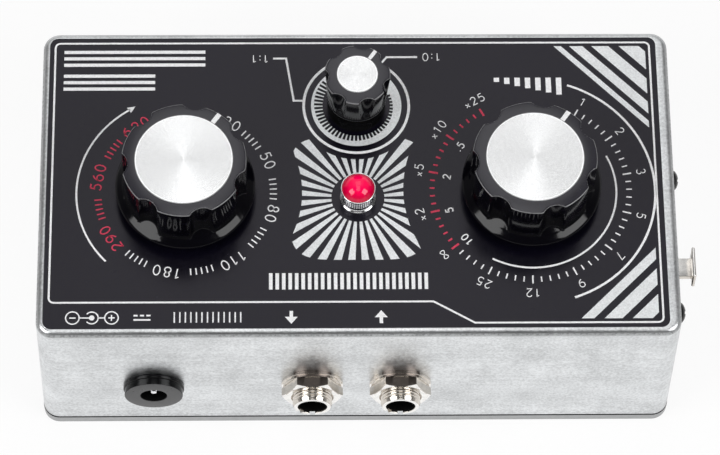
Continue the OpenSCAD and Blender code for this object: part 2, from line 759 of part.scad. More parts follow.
module pot_terminals() color("gainsboro") at_terminals() union() {
    translate([-terminal_w / 2, 0, wafer_z + wafer_t / 2]) cube([terminal_w, terminal_drop, terminal_t]);
    rod(terminal_r, pin_end, wafer_z + wafer_t / 2 + terminal_t);
}

module lamp_bezel() color("silver") on_panel(lamp_at) rotate_extrude() polygon([
    [bezel_bore_r, -bezel_below], [bezel_thread_r, -bezel_below], [bezel_thread_r, 0], [bezel_flange_r, 0],
    [bezel_flange_r, bezel_flange_t - bezel_bevel], [bezel_flange_r - bezel_bevel, bezel_flange_t],
    [bezel_neck_r, bezel_flange_t], [bezel_neck_r, bezel_h - bezel_rim_h - bezel_bevel],
    [bezel_rim_r, bezel_h - bezel_rim_h], [bezel_rim_r, bezel_h - bezel_bevel],
    [bezel_rim_r - bezel_bevel, bezel_h], [bezel_bore_r, bezel_h]
]);
bezel_rim_h = 1.2;
bezel_bevel = 0.2;
lens_plug = 1.2;
lens_ball = (lens_r * lens_r + lens_h * lens_h) / (2 * lens_h);
diode_foot = -3;
diode_flange_t = 1;
module lamp_lens() color("crimson") on_panel(lamp_at) union() {
    translate([0, 0, bezel_h + lens_h - lens_ball]) intersection() {
        sphere(lens_ball);
        rod(lens_r + past, lens_ball - lens_h, lens_ball + past);
    }
    rod(bezel_bore_r - press_gap, bezel_h - lens_plug, bezel_h + lens_h / 4);
}
module lamp_nut() color("silver") on_panel(lamp_at)
    hex_nut(bezel_nut_af, bezel_thread_r + press_gap, under - bezel_nut_t, under);
module lamp_diode() color("tomato") on_panel(lamp_at) union() {
    rod(bezel_bore_r - press_gap, diode_foot, diode_foot + diode_flange_t);
    rod(diode_r, diode_foot, bezel_h - lens_plug - diode_r - hole_gap);
    translate([0, 0, bezel_h - lens_plug - diode_r - hole_gap]) sphere(diode_r);
    for (s = [-1, 1]) translate([s * lead_pitch / 2, 0, 0]) rod(lead_r, pin_end, diode_foot + lead_r);
}

dc_edge = 0.6;
dc_tail = dc_len + lug_l;
dc_lug_x = 3.6;
lug_w = 2;
lug_t = 0.6;
module dc_socket_body() color("black") on_rear(dc_x, dc_z) difference() {
    union() {
        rod(dc_thread_r, -dc_len, dc_flange_t / 2);
        rod(dc_flange_r, press_gap, dc_flange_t - dc_edge);
        translate([0, 0, dc_flange_t - dc_edge])
            cylinder(r1 = dc_flange_r, r2 = dc_flange_r - dc_edge, h = dc_edge);
    }
    rod(dc_bore_r, dc_flange_t - dc_bore_depth, dc_flange_t + past);
    translate([0, 0, dc_flange_t - dc_edge])
        cylinder(r1 = dc_bore_r, r2 = dc_bore_r + dc_edge + past, h = dc_edge + past);
    rod(dc_pin_r + press_gap, -dc_len - past, dc_flange_t - dc_bore_depth + past);
}
module dc_socket_pin() color("silver") on_rear(dc_x, dc_z) union() {
    rod(dc_pin_r, -dc_tail, dc_flange_t - dc_pin_back - dc_pin_r);
    translate([0, 0, dc_flange_t - dc_pin_back - dc_pin_r]) sphere(dc_pin_r);
}
module dc_socket_nut() color("silver") on_rear(dc_x, dc_z)
    hex_nut(dc_nut_af, dc_thread_r + press_gap, -wall_inner - dc_nut_t, -wall_inner);
module dc_socket_lugs() color("silver") on_rear(dc_x, dc_z) for (s = [-1, 1])
    translate([s * dc_lug_x, 0, 0]) block(lug_w, lug_t, -dc_tail, -dc_len);

leg_y = -shoulder_w / 2;
leg_end = -wall_inner - shoulder_t - leg_l;
mouth_bevel = 0.4;
spring_y = -jack_bore_r - spring_lift - spring_t - hole_gap / 2;
spring_end = leg_end - spring_lug;
spring_flat = -leg_end - insulator_l;
spring_bump = spring_flat - spring_reach;
spring_tip = spring_bump - spring_nose;
module jack_frame() color("gainsboro") difference() {
    union() {
        rod(sleeve_r, -wall_inner - shoulder_t, sleeve_out);
        block(shoulder_w, shoulder_w, -wall_inner - shoulder_t, -wall_inner);
        translate([-leg_w / 2, leg_y, leg_end]) cube([leg_w, leg_t, leg_l + shoulder_t / 2]);
    }
    rod(jack_bore_r, -wall_inner - shoulder_t - past, sleeve_out + past);
    translate([0, 0, sleeve_out - mouth_bevel])
        cylinder(r1 = jack_bore_r, r2 = jack_bore_r + mouth_bevel + past, h = mouth_bevel + past);
    translate([0, -sleeve_r, 0]) block(notch_w, sleeve_r, sleeve_out - notch_t, sleeve_out + past);
}
module send_jack_frame() on_rear(send_x, jack_z) jack_frame();
module receive_jack_frame() on_rear(receive_x, jack_z) jack_frame();
module jack_washers() color("gainsboro") for (x = jack_xs) on_rear(x, jack_z)
    ring(jack_washer_r, sleeve_r + press_gap, press_gap, jack_washer_t);
module jack_nuts() color("gainsboro") for (x = jack_xs) on_rear(x, jack_z)
    hex_nut(jack_nut_af, sleeve_r + press_gap, jack_washer_t, jack_washer_t + jack_nut_t);
module jack_insulators() color("saddlebrown") for (x = jack_xs) on_rear(x, jack_z)
    translate([-leg_w / 2, leg_y + leg_t, leg_end]) cube([leg_w, spring_y - leg_y - leg_t, insulator_l]);
// Contact strip with a bump that meets the plug's tip
module tip_spring() color("goldenrod") rotate([0, 90, 0]) linear_extrude(spring_w, center = true) polygon([
    [-spring_end, spring_y], [spring_flat, spring_y], [spring_bump, spring_y + spring_lift],
    [spring_tip, spring_y], [spring_tip, spring_y + spring_t],
    [spring_bump, spring_y + spring_lift + spring_t], [spring_flat, spring_y + spring_t],
    [-spring_end, spring_y + spring_t]
]);
module send_tip_spring() on_rear(send_x, jack_z) tip_spring();
module receive_tip_spring() on_rear(receive_x, jack_z) tip_spring();

// Places of the three contacts on their circle
module at_pins() for (a = [150, 30, 270]) rotate(a) translate([pin_circle_r, 0, 0]) children();
function pin_place(a, depth) = [pin_circle_r * cos(a), pin_circle_r * sin(a), -depth];
mouth_back = 0.3;
slot_end = latch_in + coil_l;
coil_end_gap = 0.05;
contact_back = 12;
module socket_flange() block(socket_flange_w, socket_flange_w, -wall_inner - socket_flange_t, -wall_inner);
module input_shell() color("silver") difference() {
    on_side(input_y, socket_z) difference() {
        union() {
            rod(input_r, -input_l, -mouth_back);
            socket_flange();
        }
        rod(input_cavity_r, -input_l - past, past);
        latch_slot(-slot_end, past);
        at_socket_screws() rod(socket_screw_r + press_gap, -input_l, past);
    }
    posts(slide_gap);
}
module input_insert() color("black") on_side(input_y, socket_z) difference() {
    union() {
        rod(input_nose_r, -input_l, -input_nose_back);
        rod(input_cavity_r - press_gap, -input_l, input_base_t - input_l);
    }
    at_pins() rod(pin_r + hole_gap, -input_l - past, past);
}
module input_contacts() color("goldenrod") on_side(input_y, socket_z) at_pins()
    rod(pin_r + hole_gap - press_gap, -input_l - pin_tail, -contact_back);
module input_latch() color("gainsboro") on_side(input_y, socket_z) union() {
    translate([0, latch_up, 0]) {
        translate([0, latch_plate_up, latch_out]) linear_extrude(latch_plate_t)
            round_rect(latch_plate_w, latch_plate_h, latch_plate_h / 4);
        block(latch_stem_w, latch_stem_t, -latch_in, latch_out + latch_plate_t / 2);
    }
    translate([0, latch_up - latch_hook / 2, 0])
        block(latch_stem_w, latch_stem_t + latch_hook, -latch_in, latch_hook_l - latch_in);
}
coil_rings = 8;
coil_sides = 6;
module latch_spring() color("silver") on_side(input_y, socket_z)
    translate([0, latch_up + latch_stem_t / 2 - coil_r, coil_wire_r + coil_end_gap - slot_end])
        tube([
            for (i = [0:coil_turns * coil_rings]) [
                coil_r * cos(360 * i / coil_rings), coil_r * sin(360 * i / coil_rings),
                (coil_l - 2 * coil_wire_r - 2 * coil_end_gap) * i / (coil_turns * coil_rings)
            ]
        ], coil_wire_r, coil_sides, [0, 0, 1]);
module output_shell() color("silver") difference() {
    on_side(output_y, socket_z) difference() {
        union() {
            rod(output_r, -output_l, -mouth_back);
            socket_flange();
        }
        rod(output_cavity_r, -output_l - past, past);
        at_socket_screws() rod(socket_screw_r + press_gap, -output_l, past);
    }
    posts(slide_gap);
}
module output_insert() color("black") on_side(output_y, socket_z) difference() {
    rod(output_cavity_r - press_gap, -output_l, output_base_t - output_l);
    at_pins() rod(pin_r + press_gap, -output_l - past, past);
}
module output_pins() color("goldenrod") on_side(output_y, socket_z) at_pins() union() {
    rod(pin_r, -output_l - pin_tail, -pin_back - pin_r);
    translate([0, 0, -pin_back - pin_r]) sphere(pin_r);
}
module socket_screws() color("black") for (y = [input_y, output_y]) on_side(y, socket_z) at_socket_screws()
    difference() {
        union() {
            rod(socket_screw_r, -socket_screw_l, socket_head_h / 2);
            translate([0, 0, press_gap]) intersection() {
                rod(socket_head_r, 0, socket_head_h);
                translate([0, 0, socket_head_h - dome_r]) sphere(dome_r);
            }
        }
        for (a = [0, 90]) rotate(a)
            block(socket_head_r, socket_screw_r / 2, socket_head_h / 2, socket_head_h + past);
    }
dome_r = (socket_head_r * socket_head_r + socket_head_h * socket_head_h) / (2 * socket_head_h);

board_front_y = blend_at[1] + terminal_y - terminal_drop - board_front;
module circuit_board() color("darkgreen") difference() {
    translate([feedback_at[0] - pot_r - board_side, board_front_y, board_z]) cube([
        time_at[0] - feedback_at[0] + 2 * (pot_r + board_side),
        max(time_y, feedback_y) + pot_r + board_rear - board_front_y,
        board_t
    ]);
    at_terminals() rod(terminal_r + hole_gap, board_z - panel_z - past, board_top - panel_z + past);
    on_panel(lamp_at) for (s = [-1, 1]) translate([s * lead_pitch / 2, 0, 0])
        rod(lead_r + hole_gap, board_z - panel_z - past, board_top - panel_z + past);
}
// Chip under the board, with two rows of legs that reach it
leg_size = 0.5;
leg_pitch = 2.54;
module chip(legs) union() {
    block(legs / 2 * leg_pitch - leg_size, chip_w, -chip_gap - chip_h, -chip_gap);
    for (i = [0:legs / 2 - 1], s = [-1, 1])
        translate([(i - (legs / 2 - 1) / 2) * leg_pitch, s * (chip_w + leg_size / 2) / 2, 0])
            block(leg_size, leg_size, -chip_gap - chip_h / 2, 0);
}
module under_board(p) translate([p[0], p[1], board_z]) children();
module delay_chips() color("black") for (p = delay_chip_spots) under_board(p) chip(16);
module amplifier_chip() color("black") under_board(amplifier_spot) chip(8);
module electrolytic_capacitors() color("navy") for (p = can_spots) under_board(p) rod(can_r, -can_h, 0);
module film_capacitors() color("firebrick") for (p = film_spots) under_board(p)
    block(film_t, film_l, -film_h, 0);
lead_run = 1;
module resistors() color("tan") for (p = resistor_spots) under_board(p) union() {
    translate([0, 0, -resistor_r - chip_gap]) rotate([90, 0, 0]) {
        rod(resistor_r, -resistor_l / 2, resistor_l / 2);
        rod(lead_r, -resistor_l / 2 - lead_run, resistor_l / 2 + lead_run);
    }
    for (s = [-1, 1]) translate([0, s * (resistor_l / 2 + lead_run), 0])
        rod(lead_r, -resistor_r - chip_gap - lead_r, 0);
}

// Wires from the sockets' lugs to the board
module power_wires() color("red") for (lx = [0, dc_lug_x])
    wire(at_rear(dc_x, dc_z, [lx, 0, -dc_tail]), rear_away, [dc_x - lx, power_wire_y], [1, 0, 0]);
module jack_wires() color("white") for (x = jack_xs) {
    wire(at_rear(x, jack_z, [0, spring_y + spring_t / 2, spring_end]), rear_away, [x, 0], [1, 0, 0]);
    wire(at_rear(x, jack_z, [leg_w / 3, leg_y + leg_t / 2, leg_end]), rear_away,
        [x - leg_w / 3, sleeve_wire_y], [1, 0, 0]);
}
wire_run = 9;
module socket_wires() color("white") for (a = [150, 30, 270]) {
    wire(at_side(input_y, socket_z, pin_place(a, input_l + pin_tail)), side_away,
        [input_l + pin_tail + wire_run - side_x(socket_z), input_y - pin_circle_r * cos(a)], [0, 1, 0]);
    wire(at_side(output_y, socket_z, pin_place(a, output_l + pin_tail)), side_away,
        [output_l + pin_tail + wire_run - side_x(socket_z), output_y - pin_circle_r * cos(a)], [0, 1, 0]);
}

enclosure();
base_plate();
base_screws();
time_knob();
feedback_knob();
blend_knob();
time_cap();
feedback_cap();
blend_cap();
time_insert();
feedback_insert();
blend_insert();
time_set_screw();
feedback_set_screw();
blend_set_screw();
time_shaft();
feedback_shaft();
blend_shaft();
time_pot_bushing();
feedback_pot_bushing();
blend_pot_bushing();
time_pot_can();
feedback_pot_can();
blend_pot_can();
pot_nuts();
pot_washers();
pot_terminals();
lamp_bezel();
lamp_lens();
lamp_nut();
lamp_diode();
dc_socket_body();
dc_socket_pin();
dc_socket_nut();
dc_socket_lugs();
send_jack_frame();
receive_jack_frame();
jack_nuts();
jack_washers();
send_tip_spring();
receive_tip_spring();
jack_insulators();
input_shell();
input_insert();
input_contacts();
input_latch();
latch_spring();
output_shell();
output_insert();
output_pins();
socket_screws();
circuit_board();
delay_chips();
amplifier_chip();
electrolytic_capacitors();
film_capacitors();
resistors();
power_wires();
jack_wires();
socket_wires();
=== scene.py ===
import json
import math
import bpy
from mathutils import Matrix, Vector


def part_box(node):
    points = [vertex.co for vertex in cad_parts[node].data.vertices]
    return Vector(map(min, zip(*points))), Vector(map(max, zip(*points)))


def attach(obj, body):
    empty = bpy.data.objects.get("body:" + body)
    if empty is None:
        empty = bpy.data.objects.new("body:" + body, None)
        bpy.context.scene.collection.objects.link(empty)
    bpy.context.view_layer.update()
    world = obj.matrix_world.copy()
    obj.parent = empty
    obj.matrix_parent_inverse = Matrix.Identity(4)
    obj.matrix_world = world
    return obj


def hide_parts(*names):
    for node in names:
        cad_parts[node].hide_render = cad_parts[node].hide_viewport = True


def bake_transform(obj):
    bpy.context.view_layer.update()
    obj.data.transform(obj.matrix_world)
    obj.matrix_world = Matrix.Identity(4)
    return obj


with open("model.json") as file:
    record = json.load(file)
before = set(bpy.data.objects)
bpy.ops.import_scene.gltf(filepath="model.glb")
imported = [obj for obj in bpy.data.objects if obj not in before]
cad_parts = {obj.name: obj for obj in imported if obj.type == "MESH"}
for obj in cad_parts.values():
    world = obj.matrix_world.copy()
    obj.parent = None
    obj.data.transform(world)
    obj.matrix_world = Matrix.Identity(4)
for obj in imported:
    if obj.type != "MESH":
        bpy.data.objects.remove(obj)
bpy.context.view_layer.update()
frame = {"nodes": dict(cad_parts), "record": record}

from types import SimpleNamespace

import bmesh
import bpy
from bpy.props import FloatProperty, FloatVectorProperty, IntProperty, PointerProperty
from bpy.types import Operator, Panel, PropertyGroup
from mathutils import Matrix, Vector

bl_info = {
    "name": "Delay pedal dressing",
    "version": (1, 0, 0),
    "blender": (4, 5, 0),
    "location": "3D View > Sidebar > Pedal",
    "description": "Dresses the packed delay pedal with its print, knobs, lamp, sockets and finishes",
    "category": "Object",
}

MM = 0.001
MOUNTS = {mount["name"]: mount for mount in frame["record"]["mounts"]}
SLOTS = {part["node"]: part["material_slot"] for part in frame["record"]["subparts"]}
UNDOABLE = {"REGISTER", "UNDO"}


def middle(node):
    """Middle of a solid, seen from above."""
    low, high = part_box(node)
    return (low + high).xy / 2


def heights(node):
    """Lower and upper height of a solid."""
    low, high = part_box(node)
    return low.z, high.z


PANEL_Z = heights("pot_washers")[0]
CONTROLS = ("time", "feedback", "blend")
AT = {name: middle(f"{name}_cap") for name in CONTROLS}
LAMP = middle("lamp_lens")
POINTER = math.radians(235)


def wall_frame(mount, back=0.0):
    """Frame on a wall: Z points out along the mount's axis and Y points up the wall."""
    out = Vector(MOUNTS[mount]["axis"]).normalized()
    up = (Vector((0, 0, 1)) - out * out.z).normalized()
    turned_frame = Matrix((up.cross(out), up, out)).transposed().to_4x4()
    return Matrix.Translation(Vector(MOUNTS[mount]["pos_m"]) - out * back) @ turned_frame


class PedalStage(PropertyGroup):
    """Camera, floor and light."""

    distance: FloatProperty(
        name="Distance", description="Camera to the point it looks at", default=0.82809, unit="LENGTH")
    tilt: FloatProperty(
        name="Tilt", description="How far the camera looks down", default=1.1259513, subtype="ANGLE")
    turn: FloatProperty(
        name="Turn", description="How far the camera stands to one side", default=0.0496372, subtype="ANGLE")
    roll: FloatProperty(
        name="Roll", description="How far the camera leans", default=0.0413492, subtype="ANGLE")
    lens: FloatProperty(
        name="Lens", description="Focal length in millimetres on a 36 mm frame", default=175.26)
    aim: FloatVectorProperty(
        name="Aim", description="Point that the camera looks at",
        default=(-0.0004134, 0.0124389, 0.05), subtype="TRANSLATION")
    floor_colour: FloatVectorProperty(
        name="Floor", description="Colour of the floor", default=(0.96, 0.96, 0.96), subtype="COLOR")
    sky: FloatProperty(
        name="Sky", description="Strength of the even light from all round", default=0.17)
    back: FloatProperty(
        name="Back", description="Brightness of the softbox behind", default=0.95)
    top: FloatProperty(
        name="Top", description="Brightness of the softbox above", default=1.7)
    side: FloatProperty(
        name="Sides", description="Brightness of the two side softboxes", default=5.2)


class PedalFinish(PropertyGroup):
    """Colours of the finishes."""

    metal: FloatVectorProperty(
        name="Metal", description="Bare cast metal", default=(0.71, 0.725, 0.735), subtype="COLOR")
    ink: FloatVectorProperty(
        name="Ink", description="Charcoal ink of the panel", default=(0.0024, 0.002, 0.0056), subtype="COLOR")
    white: FloatVectorProperty(
        name="White print", description="Pale marks on the panel",
        default=(0.93, 0.93, 0.94), subtype="COLOR")
    red: FloatVectorProperty(
        name="Red print", description="Red marks on the panel", default=(0.62, 0.045, 0.095), subtype="COLOR")
    knob: FloatVectorProperty(
        name="Knob", description="Moulded black of the knobs",
        default=(0.0013, 0.0011, 0.0024), subtype="COLOR")
    lens: FloatVectorProperty(
        name="Lens", description="Red of the lamp", default=(0.6, 0.0, 0.04), subtype="COLOR")
    glow: FloatProperty(
        name="Glow", description="Strength of the lamp's own light", default=0.62)


class PedalShape(PropertyGroup):
    """Sizes of the dressed pieces."""

    flutes: IntProperty(
        name="Flutes", description="Flutes round each knob", default=7)
    edge: FloatProperty(
        name="Soft edge", description="Softness of the flutes' edges", default=0.00025, unit="LENGTH")
    groove: FloatProperty(
        name="Cap groove", description="Spacing of the turned grooves on the caps",
        default=0.0002, unit="LENGTH")
    thread: FloatProperty(
        name="Thread", description="Pitch of the jacks' thread", default=0.0008, unit="LENGTH")
    print_t: FloatProperty(
        name="Print", description="Thickness of the print", default=0.00003, unit="LENGTH")
    line: FloatProperty(
        name="Line", description="Width of the panel's frame line", default=0.00046, unit="LENGTH")
    number: FloatProperty(
        name="Number", description="Height of the time dial's numbers", default=0.0025, unit="LENGTH")
    small_number: FloatProperty(
        name="Small number", description="Height of the feedback dial's numbers",
        default=0.00205, unit="LENGTH")
    pen: FloatProperty(
        name="Pen", description="Width of the time dial's pen strokes", default=0.00029, unit="LENGTH")


# Node trees: values of sockets with Python's own operators


class Value:
    """A socket's value in a node tree; each operator adds one Math node."""

    def __init__(self, graph, socket):
        self.graph, self.socket = graph, socket

    def math(self, operation, *others):
        return self.graph.math(operation, self, *others)

    def __add__(self, other):
        return self.math("ADD", other)

    __radd__ = __add__

    def __sub__(self, other):
        return self.math("SUBTRACT", other)

    def __rsub__(self, other):
        return self.graph.math("SUBTRACT", other, self)

    def __mul__(self, other):
        return self.math("MULTIPLY", other)

    def __truediv__(self, other):
        return self.math("DIVIDE", other)

    def __rtruediv__(self, other):
        return self.graph.math("DIVIDE", other, self)

    def __pow__(self, other):
        return self.math("POWER", other)

    def __neg__(self):
        return self.math("MULTIPLY", -1.0)


# A Mix node's sockets for colours: its factor and two colours, and its result
MIX_INPUTS, MIX_RESULT = (0, 6, 7), 2


class Graph:
    """A node tree under construction."""

    def __init__(self, tree):
        self.tree = tree
        tree.nodes.clear()

    def node(self, kind, inputs=None, out=0, **settings):
        """Adds one node: its settings first, then the values or links of its sockets."""
        made = self.tree.nodes.new(kind)
        for key, value in settings.items():
            setattr(made, key, value)
        for key, value in (inputs or {}).items():
            if isinstance(value, Value):
                self.tree.links.new(value.socket, made.inputs[key])
            else:
                made.inputs[key].default_value = value
        return Value(self, made.outputs[out]) if made.outputs else None

    def math(self, operation, *terms):
        return self.node("ShaderNodeMath", dict(enumerate(terms)), operation=operation)

    def part(self, value, out):
        """Another output of the node that gave a value."""
        return Value(self, value.socket.node.outputs[out])

    def axes(self, vector):
        """The three parts of a vector."""
        split = self.node("ShaderNodeSeparateXYZ", {0: vector})
        return split, self.part(split, 1), self.part(split, 2)

    def vector(self, *parts):
        """A vector from its three parts."""
        return self.node("ShaderNodeCombineXYZ", dict(enumerate(parts)))

    def place(self, scale=(1, 1, 1), at=(0, 0, 0)):
        """Object coordinates, moved and scaled."""
        here = self.node("ShaderNodeTexCoord", out="Object")
        return self.node("ShaderNodeMapping", {"Vector": here, "Location": at, "Scale": scale})

    def noise(self, where, scale, detail=3.0, rough=0.55):
        return self.node("ShaderNodeTexNoise",
                         {"Vector": where, "Scale": scale, "Detail": detail, "Roughness": rough})

    def ramp(self, value, low, high):
        """0 below low, 1 above high, smooth between."""
        return self.node("ShaderNodeMapRange", {"Value": value, "From Min": low, "From Max": high},
                         interpolation_type="SMOOTHSTEP")

    def vary(self, noise, level, spread):
        """A level that goes up and down with a noise."""
        return (noise - 0.5) * spread + level

    def mix(self, amount, first, second):
        """Two colours mixed."""
        colours = [each if isinstance(each, Value) else (*each, 1) for each in (first, second)]
        inputs = dict(zip(MIX_INPUTS, (amount, *colours)))
        return self.node("ShaderNodeMix", inputs, MIX_RESULT, data_type="RGBA")

    def mottle(self, noise, colour, dark, pale, low=0.3, high=0.7):
        """A colour that gets darker and paler with a noise."""
        return self.mix(self.ramp(noise, low, high), shade(colour, dark), shade(colour, pale))

    def bump(self, height, depth, strength):
        return self.node("ShaderNodeBump", {"Height": height, "Distance": depth, "Strength": strength})

    def surface(self, sockets):
        """The finished surface."""
        self.node("ShaderNodeOutputMaterial", {"Surface": self.node("ShaderNodeBsdfPrincipled", sockets)})


def shade(colour, amount):
    """A colour made darker or lighter."""
    return tuple(min(1.0, channel * amount) for channel in colour)


def new_material(name):
    """An empty material and its graph."""
    material = bpy.data.materials.new(name)
    material.use_nodes = True
    return material, Graph(material.node_tree)


MADE = {}


def finish(name):
    """A finish's material by its name, made once."""
    if name not in MADE:
        MADE[name], graph = new_material(name)
        FINISHES[name](graph, bpy.context.scene.pedal_finish)
    return MADE[name]


# Finishes


def cast_metal(graph, look):
    """Tumbled cast metal: fine grain, soft clouds, streaks along the box, and a top edge darkened in fine
    pitted patches as painted shade.
    """
    here = graph.place()
    grain = graph.noise(here, 1500, rough=0.65)
    cloud = graph.noise(here, 95, 4, 0.6)
    streak = graph.noise(graph.place((30, 700, 700)), 1.0, rough=0.6)
    # Pit-like patches that break up the painted shade along the top edge
    patchy_shade = graph.ramp(graph.noise(here, 1500, rough=0.7), 0.35, 0.65)
    height = graph.axes(here)[2]
    # Band along the top fillet, just below the panel, where shade is painted
    rim_low, rim_full, rim_fade, rim_top = (PANEL_Z - depth * MM for depth in (2.0, 1.0, 0.8, 0.1))
    rim = graph.ramp(height, rim_low, rim_full) * graph.ramp(-height, -rim_top, -rim_fade)
    tone = (grain - 0.5) * 0.7 + (cloud - 0.5) * 0.45 + (streak - 0.5) * 0.18 + 0.5
    base = graph.mottle(tone, look.metal, 0.68, 1.26, 0.22, 0.78)
    graph.surface({
        # Painted shade: along the top fillet the metal darkens towards a third of its colour, in patches
        "Base Color": graph.mix(rim * (0.35 + patchy_shade * 0.6), base, shade(look.metal, 0.3)),
        "Metallic": 1.0, "Roughness": graph.vary(grain, 0.34, 0.25),
        "Normal": graph.bump(grain * 0.6 + streak * 0.4, 0.04 * MM, 0.5),
    })


def panel_ink(graph, look):
    """Satin charcoal ink with a faint mottle."""
    here = graph.place()
    cover = graph.noise(here, 900)
    graph.surface({
        "Base Color": graph.mottle(cover, look.ink, 0.85, 1.15), "Roughness": graph.vary(cover, 0.24, 0.15),
        "Specular IOR Level": 0.32, "Specular Tint": (0.95, 0.92, 1.0, 1.0),
        "Normal": graph.bump(graph.noise(here, 2500, 2), 0.01 * MM, 0.4),
    })


def print_finish(colour, pale):
    """Maker of a print colour with slightly uneven cover."""

    def make(graph, look):
        cover = graph.noise(graph.place(), 2200)
        graph.surface({
            "Base Color": graph.mottle(cover, getattr(look, colour), 0.86, pale, 0.25, 0.75),
            "Roughness": graph.vary(cover, 0.5, 0.2), "Specular IOR Level": 0.3,
        })

    return make


def bare_print(graph, look):
    """Bare metal left free of ink."""
    here = graph.place()
    grain = graph.noise(here, 2400, 2, 0.6)
    cloud = graph.noise(here, 220, rough=0.6)
    tone = (grain - 0.5) * 0.7 + (cloud - 0.5) * 0.3 + 0.5
    graph.surface({
        "Base Color": graph.mottle(tone, look.metal, 0.9, 1.33, 0.2, 0.8), "Metallic": 0.35,
        "Roughness": graph.vary(grain, 0.5, 0.2), "Normal": graph.bump(grain, 0.02 * MM, 0.4),
    })


def knob_gloss(rough, gloss, pale=1.0):
    """Maker of the knobs' moulded black; a pale factor above one lightens it, which paints light onto the
    knobs' top rings.
    """

    def make(graph, look):
        here = graph.place()
        speck = graph.noise(here, 1400)
        graph.surface({
            "Base Color": graph.mottle(speck, shade(look.knob, pale), 0.8, 1.3),
            "Roughness": graph.vary(speck, rough, 0.06), "Specular IOR Level": gloss,
            "Normal": graph.bump(graph.noise(here, 500, 2), 0.012 * MM, 0.2),
        })

    return make


def spun(graph, look):
    """Turned aluminium."""
    lines = graph.noise(graph.place(), 1800, 2)
    graph.surface({
        "Base Color": graph.mix(graph.ramp(lines, 0.3, 0.7), (0.78, 0.785, 0.79), (0.84, 0.845, 0.85)),
        "Metallic": 1.0, "Roughness": graph.vary(lines, 0.24, 0.1),
    })


def bright_metal(colour, rough, spread=0.1):
    """Maker of a plated metal with fine handling marks."""

    def make(graph, look):
        marks = graph.noise(graph.place(), 700, 4, 0.6)
        graph.surface({
            "Base Color": graph.mottle(marks, colour, 0.9, 1.05), "Metallic": 1.0,
            "Roughness": graph.vary(marks, rough, spread), "Normal": graph.bump(marks, 0.008 * MM, 0.3),
        })

    return make


def moulded(colour, rough, gloss=0.5):
    """Maker of a moulded or lacquered finish."""

    def make(graph, look):
        skin = graph.noise(graph.place(), 1100)
        graph.surface({
            "Base Color": graph.mottle(skin, colour, 0.85, 1.15), "Roughness": graph.vary(skin, rough, 0.15),
            "Specular IOR Level": gloss, "Normal": graph.bump(skin, 0.01 * MM, 0.3),
        })

    return make


def red_lens(graph, look):
    """Lit red dome: brightest round its middle."""
    here = graph.place(at=(-LAMP.x, -LAMP.y, 0))
    across, along, _ = graph.axes(here)
    out = (across * across + along * along) ** 0.5
    core = graph.ramp(-out, -3.9 * MM, -1.4 * MM)
    speck = graph.noise(here, 900, 2)
    graph.surface({
        "Base Color": graph.mottle(speck, look.lens, 0.8, 1.0), "Roughness": graph.vary(speck, 0.06, 0.04),
        "Emission Color": graph.mix(core, shade(look.lens, 0.22), (1.0, 0.0, 0.095)),
        "Emission Strength": look.glow,
    })


FINISHES = {
    "cast_metal": cast_metal,
    # Painted shade: a darker copy of the metal for the base plate
    "cover_metal": bright_metal((0.4, 0.405, 0.41), 0.36, 0.2),
    "seam_shadow": moulded((0.02, 0.02, 0.021), 0.5, 0.2),
    "panel_ink": panel_ink,
    "white_print": print_finish("white", 1.05),
    "red_print": print_finish("red", 1.15),
    "ink_print": print_finish("ink", 1.1),
    "bare_print": bare_print,
    "knob_plastic": knob_gloss(0.1, 0.26),
    "small_knob_plastic": knob_gloss(0.1, 0.14),
    # Painted light: a paler copy of the knob black for the knobs' top rings
    "knob_top": knob_gloss(0.26, 0.64, 5.0),
    # Painted highlight: grey on the rounded edge between a knob's side and top
    "knob_edge": moulded((0.2, 0.2, 0.205), 0.3, 0.6),
    "spun_aluminium": spun,
    "brass": bright_metal((0.72, 0.53, 0.24), 0.3),
    # dark_steel also serves as painted shade on the pots' steel nuts, washers and bushings
    "dark_steel": moulded((0.004, 0.004, 0.0045), 0.22, 0.3),
    "bright_steel": bright_metal((0.66, 0.66, 0.67), 0.28),
    "chrome": bright_metal((0.82, 0.82, 0.84), 0.08, 0.05),
    "red_lens": red_lens,
    "black_plastic": moulded((0.03, 0.03, 0.032), 0.3),
    "gloss_black": moulded((0.0025, 0.0025, 0.003), 0.12, 0.22),
    # Black plastic drawn darker and without shine inside holes: partly its own black, partly painted shade
    "deep_black": moulded((0.002, 0.002, 0.002), 0.6, 0.05),
    "nickel": bright_metal((0.68, 0.635, 0.58), 0.15, 0.08),
    # Painted light and painted shade: lit and shaded copies of the nickel, for faces that face out and faces
    # on top
    "bright_nickel": bright_metal((0.93, 0.915, 0.89), 0.2, 0.06),
    "shaded_nickel": bright_metal((0.16, 0.135, 0.12), 0.25, 0.08),
    "brown_laminate": moulded((0.2, 0.09, 0.035), 0.55),
    "green_board": moulded((0.02, 0.12, 0.04), 0.35),
    "blue_sleeve": moulded((0.02, 0.03, 0.14), 0.35),
    "red_film": moulded((0.25, 0.03, 0.02), 0.3),
    "tan_resistor": moulded((0.5, 0.32, 0.17), 0.5),
    "red_wire": moulded((0.4, 0.015, 0.012), 0.4),
    "white_wire": moulded((0.75, 0.74, 0.7), 0.4),
}


# Shapes: a part is a list of vertices and a list of faces. Places and heights are in metres, while
# profiles, blocks and print are drawn in millimetres

SMOOTH = 35        # degrees between faces up to which a piece is shaded smooth
MERGE = 2e-7       # metres within which vertices are merged
FACING = 0.8       # share of a direction in a normal from which a face looks that way


